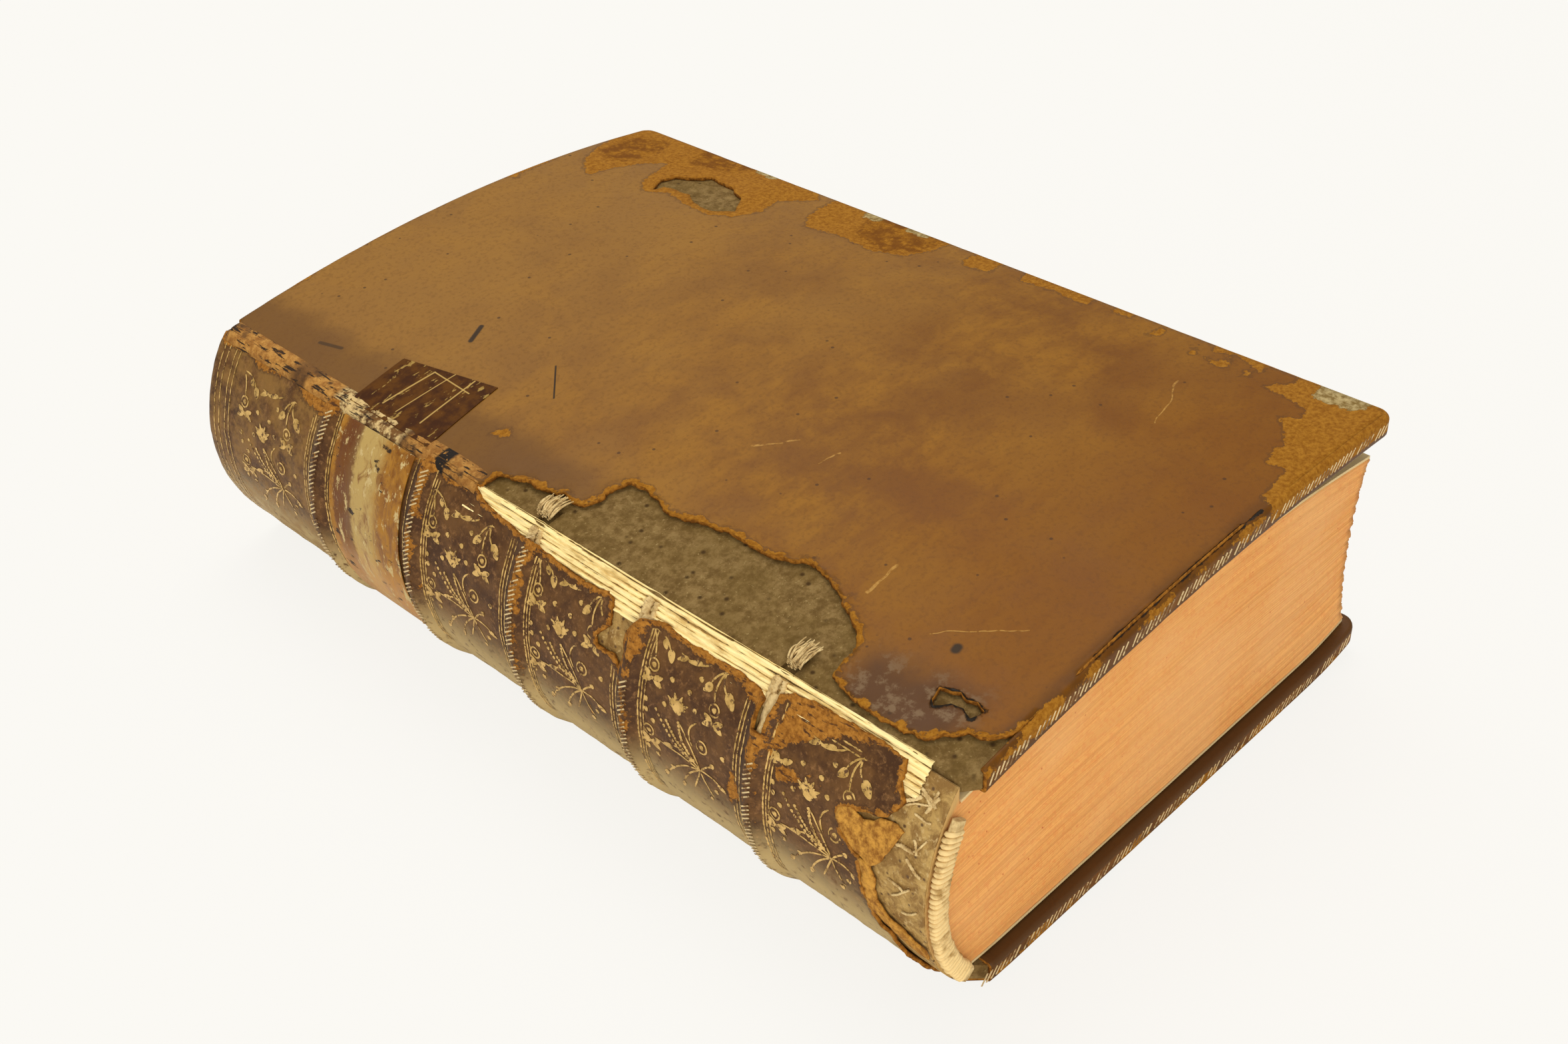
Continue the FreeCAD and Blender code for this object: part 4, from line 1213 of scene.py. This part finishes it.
def strand(name, flat, r, thick, body):
    steps, around = 26, 10
    path = np.asarray(on_back(*np.asarray(flat, dtype=float).T, r))
    t = np.linspace(0, len(path) - 1, steps)
    line = np.stack([np.interp(t, np.arange(len(path)), path[:, i]) for i in range(3)], -1)
    run = np.gradient(line, axis=0)
    run /= np.linalg.norm(run, axis=1)[:, None]
    side = np.cross(run, (0.3, 0.1, 0.95))
    side /= np.linalg.norm(side, axis=1)[:, None]
    up = np.cross(run, side)
    b = np.linspace(0, 2 * math.pi, around, endpoint=False)
    twist = np.arange(steps)[:, None] * 0.8
    wide = thick * (1 + 0.18 * np.cos(2 * (b[None] - twist)))[..., None]
    ring_at = np.cos(b)[None, :, None] * side[:, None] + np.sin(b)[None, :, None] * up[:, None]
    points = line[:, None] + wide * ring_at
    faces = [(i * around + j, i * around + (j + 1) % around,
              (i + 1) * around + (j + 1) % around, (i + 1) * around + j)
             for i in range(steps - 1) for j in range(around)]
    last = (steps - 1) * around
    faces += [tuple(range(around))[::-1], tuple(range(last, last + around))]
    piece = mesh_piece(name, points.reshape(-1, 3), faces, [hemp])
    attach(piece, body)


rng = np.random.default_rng(8)
for number in range(1, 15):
    u, y = rng.uniform(1.5, 13) if number < 10 else rng.uniform(13, 34), rng.uniform(-96.5, -92.5)
    turn = rng.normal(1.45, 0.5) if number % 3 else rng.normal(0.1, 0.35)
    long = rng.uniform(2.2, 5.5)
    flat = [(u + t * long * math.cos(turn) + 0.35 * math.sin(4 * t + number),
             min(y + t * long * math.sin(turn), -88.8)) for t in (0, 0.3, 0.65, 1.0)]
    strand("loose_thread_%d" % number, flat, spine_radius - 0.45, rng.uniform(0.16, 0.34), "block")
knot_ends = ((-1.1, -0.20, 6.4), (0.1, 0.05, 5.2), (1.2, -0.25, 6.9), (0.7, 0.15, 4.0))
for number, band in enumerate((-60.5, -30.25, 0.0), 1):
    for k, (off, rise, reach) in enumerate(knot_ends):
        flat = ((1.3, band + off * 0.7), (reach * 0.45, band + off + 0.35 * (k % 2)),
                (reach, band + off * 1.1))
        strand("cord_knot_%d_%d" % (number, k), flat, spine_radius - 0.45 + rise, 0.52, "block")


# The joints: calf that still bridges the back and a board, cracked, dry and worn orange.
def bridge(name, y, profile, finishes):
    rows = [np.array(profile(t)) for t in y]
    points = np.concatenate(rows)
    wave = 0.07 * mottle(points, 2.2, 41)
    points[:, 2] += wave * np.tile(np.sin(np.linspace(0, math.pi, len(rows[0]))), len(rows))
    piece = mesh_piece(name, points, grid_faces(len(rows), len(rows[0])), finishes)
    thicken(piece, 0.3, 0)
    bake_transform(piece)
    return piece


joint_calf, place = finish("cracked_joint", Roughness=0.78, Specular_IOR_Level=0.25)
worn = place.cloud(1.6, 6.0, 0.7).between(0.34, 0.66).blend((0.27, 0.105, 0.014), (0.52, 0.26, 0.055))
calm = place.cloud(3.4, 4.0).between(0.36, 0.64).blend((0.080, 0.034, 0.008), (0.18, 0.078, 0.016))
along = place.axis("Y")
patchy = along.between(0.073, 0.078).most(along.between(0.060, 0.0625) * (1 - along.between(0.0695, 0.0715)))
patchy = patchy.most((1 - along.between(0.0375, 0.0395)) * 0.85)
tone = (patchy * place.cloud(4.5, 5.0).between(0.36, 0.48)).blend(calm, worn)
slip = along.between(0.039, 0.041) * (1 - along.between(0.060, 0.062))
tone = (slip * place.cloud(2.4, 5.0, 0.7).between(0.40, 0.55)).blend(tone, (0.66, 0.47, 0.20))
splits = place.stretched((1, 0.16, 1)).cloud(0.8, 5.0).between(0.575, 0.62)
tone = splits.blend(tone, (0.03, 0.014, 0.005))
pit = along.between(0.0262, 0.0268) * (1 - along.between(0.0292, 0.0298))
tone = (pit * place.cloud(1.4, 3.0).between(0.34, 0.40)).blend(tone, (0.012, 0.007, 0.004))
wire(joint_calf, relief=(place.cloud(0.8, 5.0, 0.7) - splits * 0.8 - pit, 0.3), Base_Color=tone)


def upper_profile(y):
    round_back = ((1.9, -0.02), (1.2, 0.22), (0.5, 0.30))
    on_board = ((-54.5, 0.02), (-54.0, 0.20), (-53.2, 0.22), (-52.4, 0.14), (-51.6, -0.06))
    out = [tuple(on_back(u, y, spine_radius + lift)) for u, lift in round_back]
    out.append((-55.0, y, float(upper_face(-54.8, y)) + 0.12))
    return out + [(x, y, float(upper_face(x, y)) + lift) for x, lift in on_board]


def lower_profile(y):
    on_board = ((-50.6, -0.06), (-51.2, 0.0), (-51.75, -0.02))
    round_back = ((0.3, 0.16), (1.0, 0.2), (1.8, -0.02))
    out = [(x, y, float(lower_face(x, y)) - lift) for x, lift in on_board]
    out.append((-51.98, y, 0.62))
    return out + [tuple(on_back(back_width - u, y, spine_radius + lift)) for u, lift in round_back]


bridge("upper_joint_calf", np.arange(17.2, 98.6, 0.9), upper_profile, [joint_calf])
bridge("lower_joint_calf", np.arange(-91.8, 98.6, 2.0), lower_profile, [joint_calf])


# Title label of red-brown goatskin, and two strips of old clear tape, now amber, brittle
# and smeared with glue: one round the back over the label, one on the board beside it.
def along_back(place, start, full, last, end):
    y = place.axis("Y") + place.cloud(3.0, 5.0, 0.7) * 0.004 - 0.002
    return y.between(start, full) * (1 - y.between(last, end))


label, place = finish("title_label", Roughness=0.5, Specular_IOR_Level=0.35)
tone = place.cloud(2.5, 5.0).between(0.36, 0.6).blend((0.14, 0.03, 0.012), (0.30, 0.085, 0.028))
wire(label, Base_Color=tone)
tape, place = finish("amber_tape", Specular_IOR_Level=0.25)
smear = place.stretched((1, 1, 0.35)).cloud(2.6, 6.0, 0.7, 0.5)
tone = smear.between(0.36, 0.62).blend((0.19, 0.064, 0.002), (0.37, 0.165, 0.016))
middle = along_back(place, 0.0400, 0.0445, 0.0500, 0.0525)
tone = (middle * smear.between(0.30, 0.52)).blend(tone, (0.46, 0.31, 0.095))
printed = along_back(place, 0.0490, 0.0502, 0.0545, 0.0555)
tone = (printed * 0.85).blend(tone, (0.120, 0.034, 0.005))
pink = 1 - place.axis("Z").between(0.016, 0.030)
tone = (pink * 0.7).blend(tone, (0.58, 0.30, 0.100))
torn_bits = place.stretched((1, 1, 0.35)).cloud(2.0, 6.0, 0.75)
tone = torn_bits.between(0.56, 0.61).blend(tone, (0.56, 0.42, 0.18))
cracks = place.stretched((1, 0.5, 1)).cloud(3.2, 6.0, 0.7).between(0.60, 0.64)
tone = cracks.blend(tone, (0.030, 0.012, 0.003))
wire(tape, relief=(smear, 0.25), Base_Color=tone, Roughness=smear.between(0.3, 0.7) * 0.35 + 0.28)
board_tape, place = finish("dark_tape", Specular_IOR_Level=0.06)
tone = place.cloud(3.0, 5.0).between(0.36, 0.64).blend((0.045, 0.012, 0.0004), (0.100, 0.034, 0.0010))
streak = place.stretched((0.4, 1, 1)).cloud(1.4, 4.0).between(0.60, 0.64)
tone = (streak * 0.6).blend(tone, (0.50, 0.33, 0.09))
for start, end, width in (((-50.6, 39.8), (-36.2, 40.6), 0.35), ((-51.0, 50.9), (-39.0, 49.6), 0.4),
                          ((-39.4, 38.6), (-39.0, 49.4), 0.3), ((-51.2, 46.6), (-35.6, 45.4), 0.25)):
    tone = (place.line(start, end, width) * 0.8).blend(tone, (0.52, 0.34, 0.10))
wire(board_tape, Base_Color=tone, Roughness=streak * 0.3 + 0.45)
dress(label, "title_label")
dress(tape, "spine_tape")
dress(board_tape, "board_tape")


# The pale studio sweep with its two lamps, and the camera at the angle of the
# photograph, above the tail of the back.
floor_mat, place = finish("studio_floor", Base_Color=(0.86, 0.85, 0.82, 1), Roughness=0.9,
                          Specular_IOR_Level=0.1)
floor_mesh = bpy.data.meshes.new("studio_floor")
wide = 3.0
floor_mesh.from_pydata([(-wide, -wide, 0), (wide, -wide, 0), (wide, wide, 0), (-wide, wide, 0)], [],
                       [(0, 1, 2, 3)])
floor_mesh.materials.append(floor_mat)
floor = bpy.data.objects.new("studio_floor", floor_mesh)
bpy.context.scene.collection.objects.link(floor)

tree = floor_mat.node_tree
ray = Shade(tree).node("ShaderNodeLightPath", out="Is Camera Ray")
glow = ray.node("ShaderNodeEmission", {}, {"Color": (0.96, 0.945, 0.905, 1), "Strength": 1.0})
see = ray * 0.90
mixed = see.node("ShaderNodeMixShader", {}, {0: see})
tree.links.new(tree.nodes["Principled BSDF"].outputs[0], mixed.out.node.inputs[1])
tree.links.new(glow.out, mixed.out.node.inputs[2])
tree.links.new(mixed.out, tree.nodes["Material Output"].inputs["Surface"])

world = bpy.data.worlds.new("studio")
bpy.context.scene.world = world
world.use_nodes = True
tree = world.node_tree
back = tree.nodes["Background"]
back.inputs["Color"].default_value = (1.0, 0.975, 0.93, 1)
back.inputs["Strength"].default_value = 0.5
ray = Shade(tree).node("ShaderNodeLightPath", out="Is Camera Ray")
shown = ray.node("ShaderNodeBackground", {}, {"Color": (0.975, 0.965, 0.935, 1), "Strength": 1.0})
mixed = ray.node("ShaderNodeMixShader", {}, {0: ray})
tree.links.new(back.outputs[0], mixed.out.node.inputs[1])
tree.links.new(shown.out, mixed.out.node.inputs[2])
tree.links.new(mixed.out, tree.nodes["World Output"].inputs["Surface"])


def lamp(name, at, aim, size, watts, colour):
    light = bpy.data.lights.new(name, "AREA")
    light.size, light.energy, light.color = size, watts, colour
    holder = bpy.data.objects.new(name, light)
    holder.location = at
    holder.rotation_euler = (Vector(aim) - Vector(at)).to_track_quat("-Z", "Y").to_euler()
    bpy.context.scene.collection.objects.link(holder)


lamp("window", (0.25, 0.35, 1.0), (0, 0, 0.03), 0.8, 7.4, (1.0, 0.97, 0.92))
lamp("fill", (-0.72, -0.72, 0.42), (0, 0, 0.03), 0.9, 7.6, (1.0, 0.96, 0.90))

eye = bpy.data.cameras.new("camera")
eye.lens, eye.sensor_width = 46.01, 36.0
eye.clip_start = 0.01
viewer = bpy.data.objects.new("camera", eye)
azimuth, elevation, roll = (math.radians(v) for v in (-44.587, 37.525, -2.731))
back_way = Vector((math.sin(azimuth) * math.cos(elevation), -math.cos(azimuth) * math.cos(elevation),
                   math.sin(elevation)))
right = (-back_way).cross(Vector((0, 0, 1))).normalized()
over = right.cross(-back_way)
level = math.cos(roll) * right + math.sin(roll) * over
over = -math.sin(roll) * right + math.cos(roll) * over
stand = (-0.2242, -0.2338, 0.2677)
rows = [(level[i], over[i], back_way[i], stand[i]) for i in range(3)]
viewer.matrix_world = Matrix(rows + [(0, 0, 0, 1)])
bpy.context.scene.collection.objects.link(viewer)
bpy.context.scene.camera = viewer
bpy.context.scene.view_settings.view_transform = "Standard"
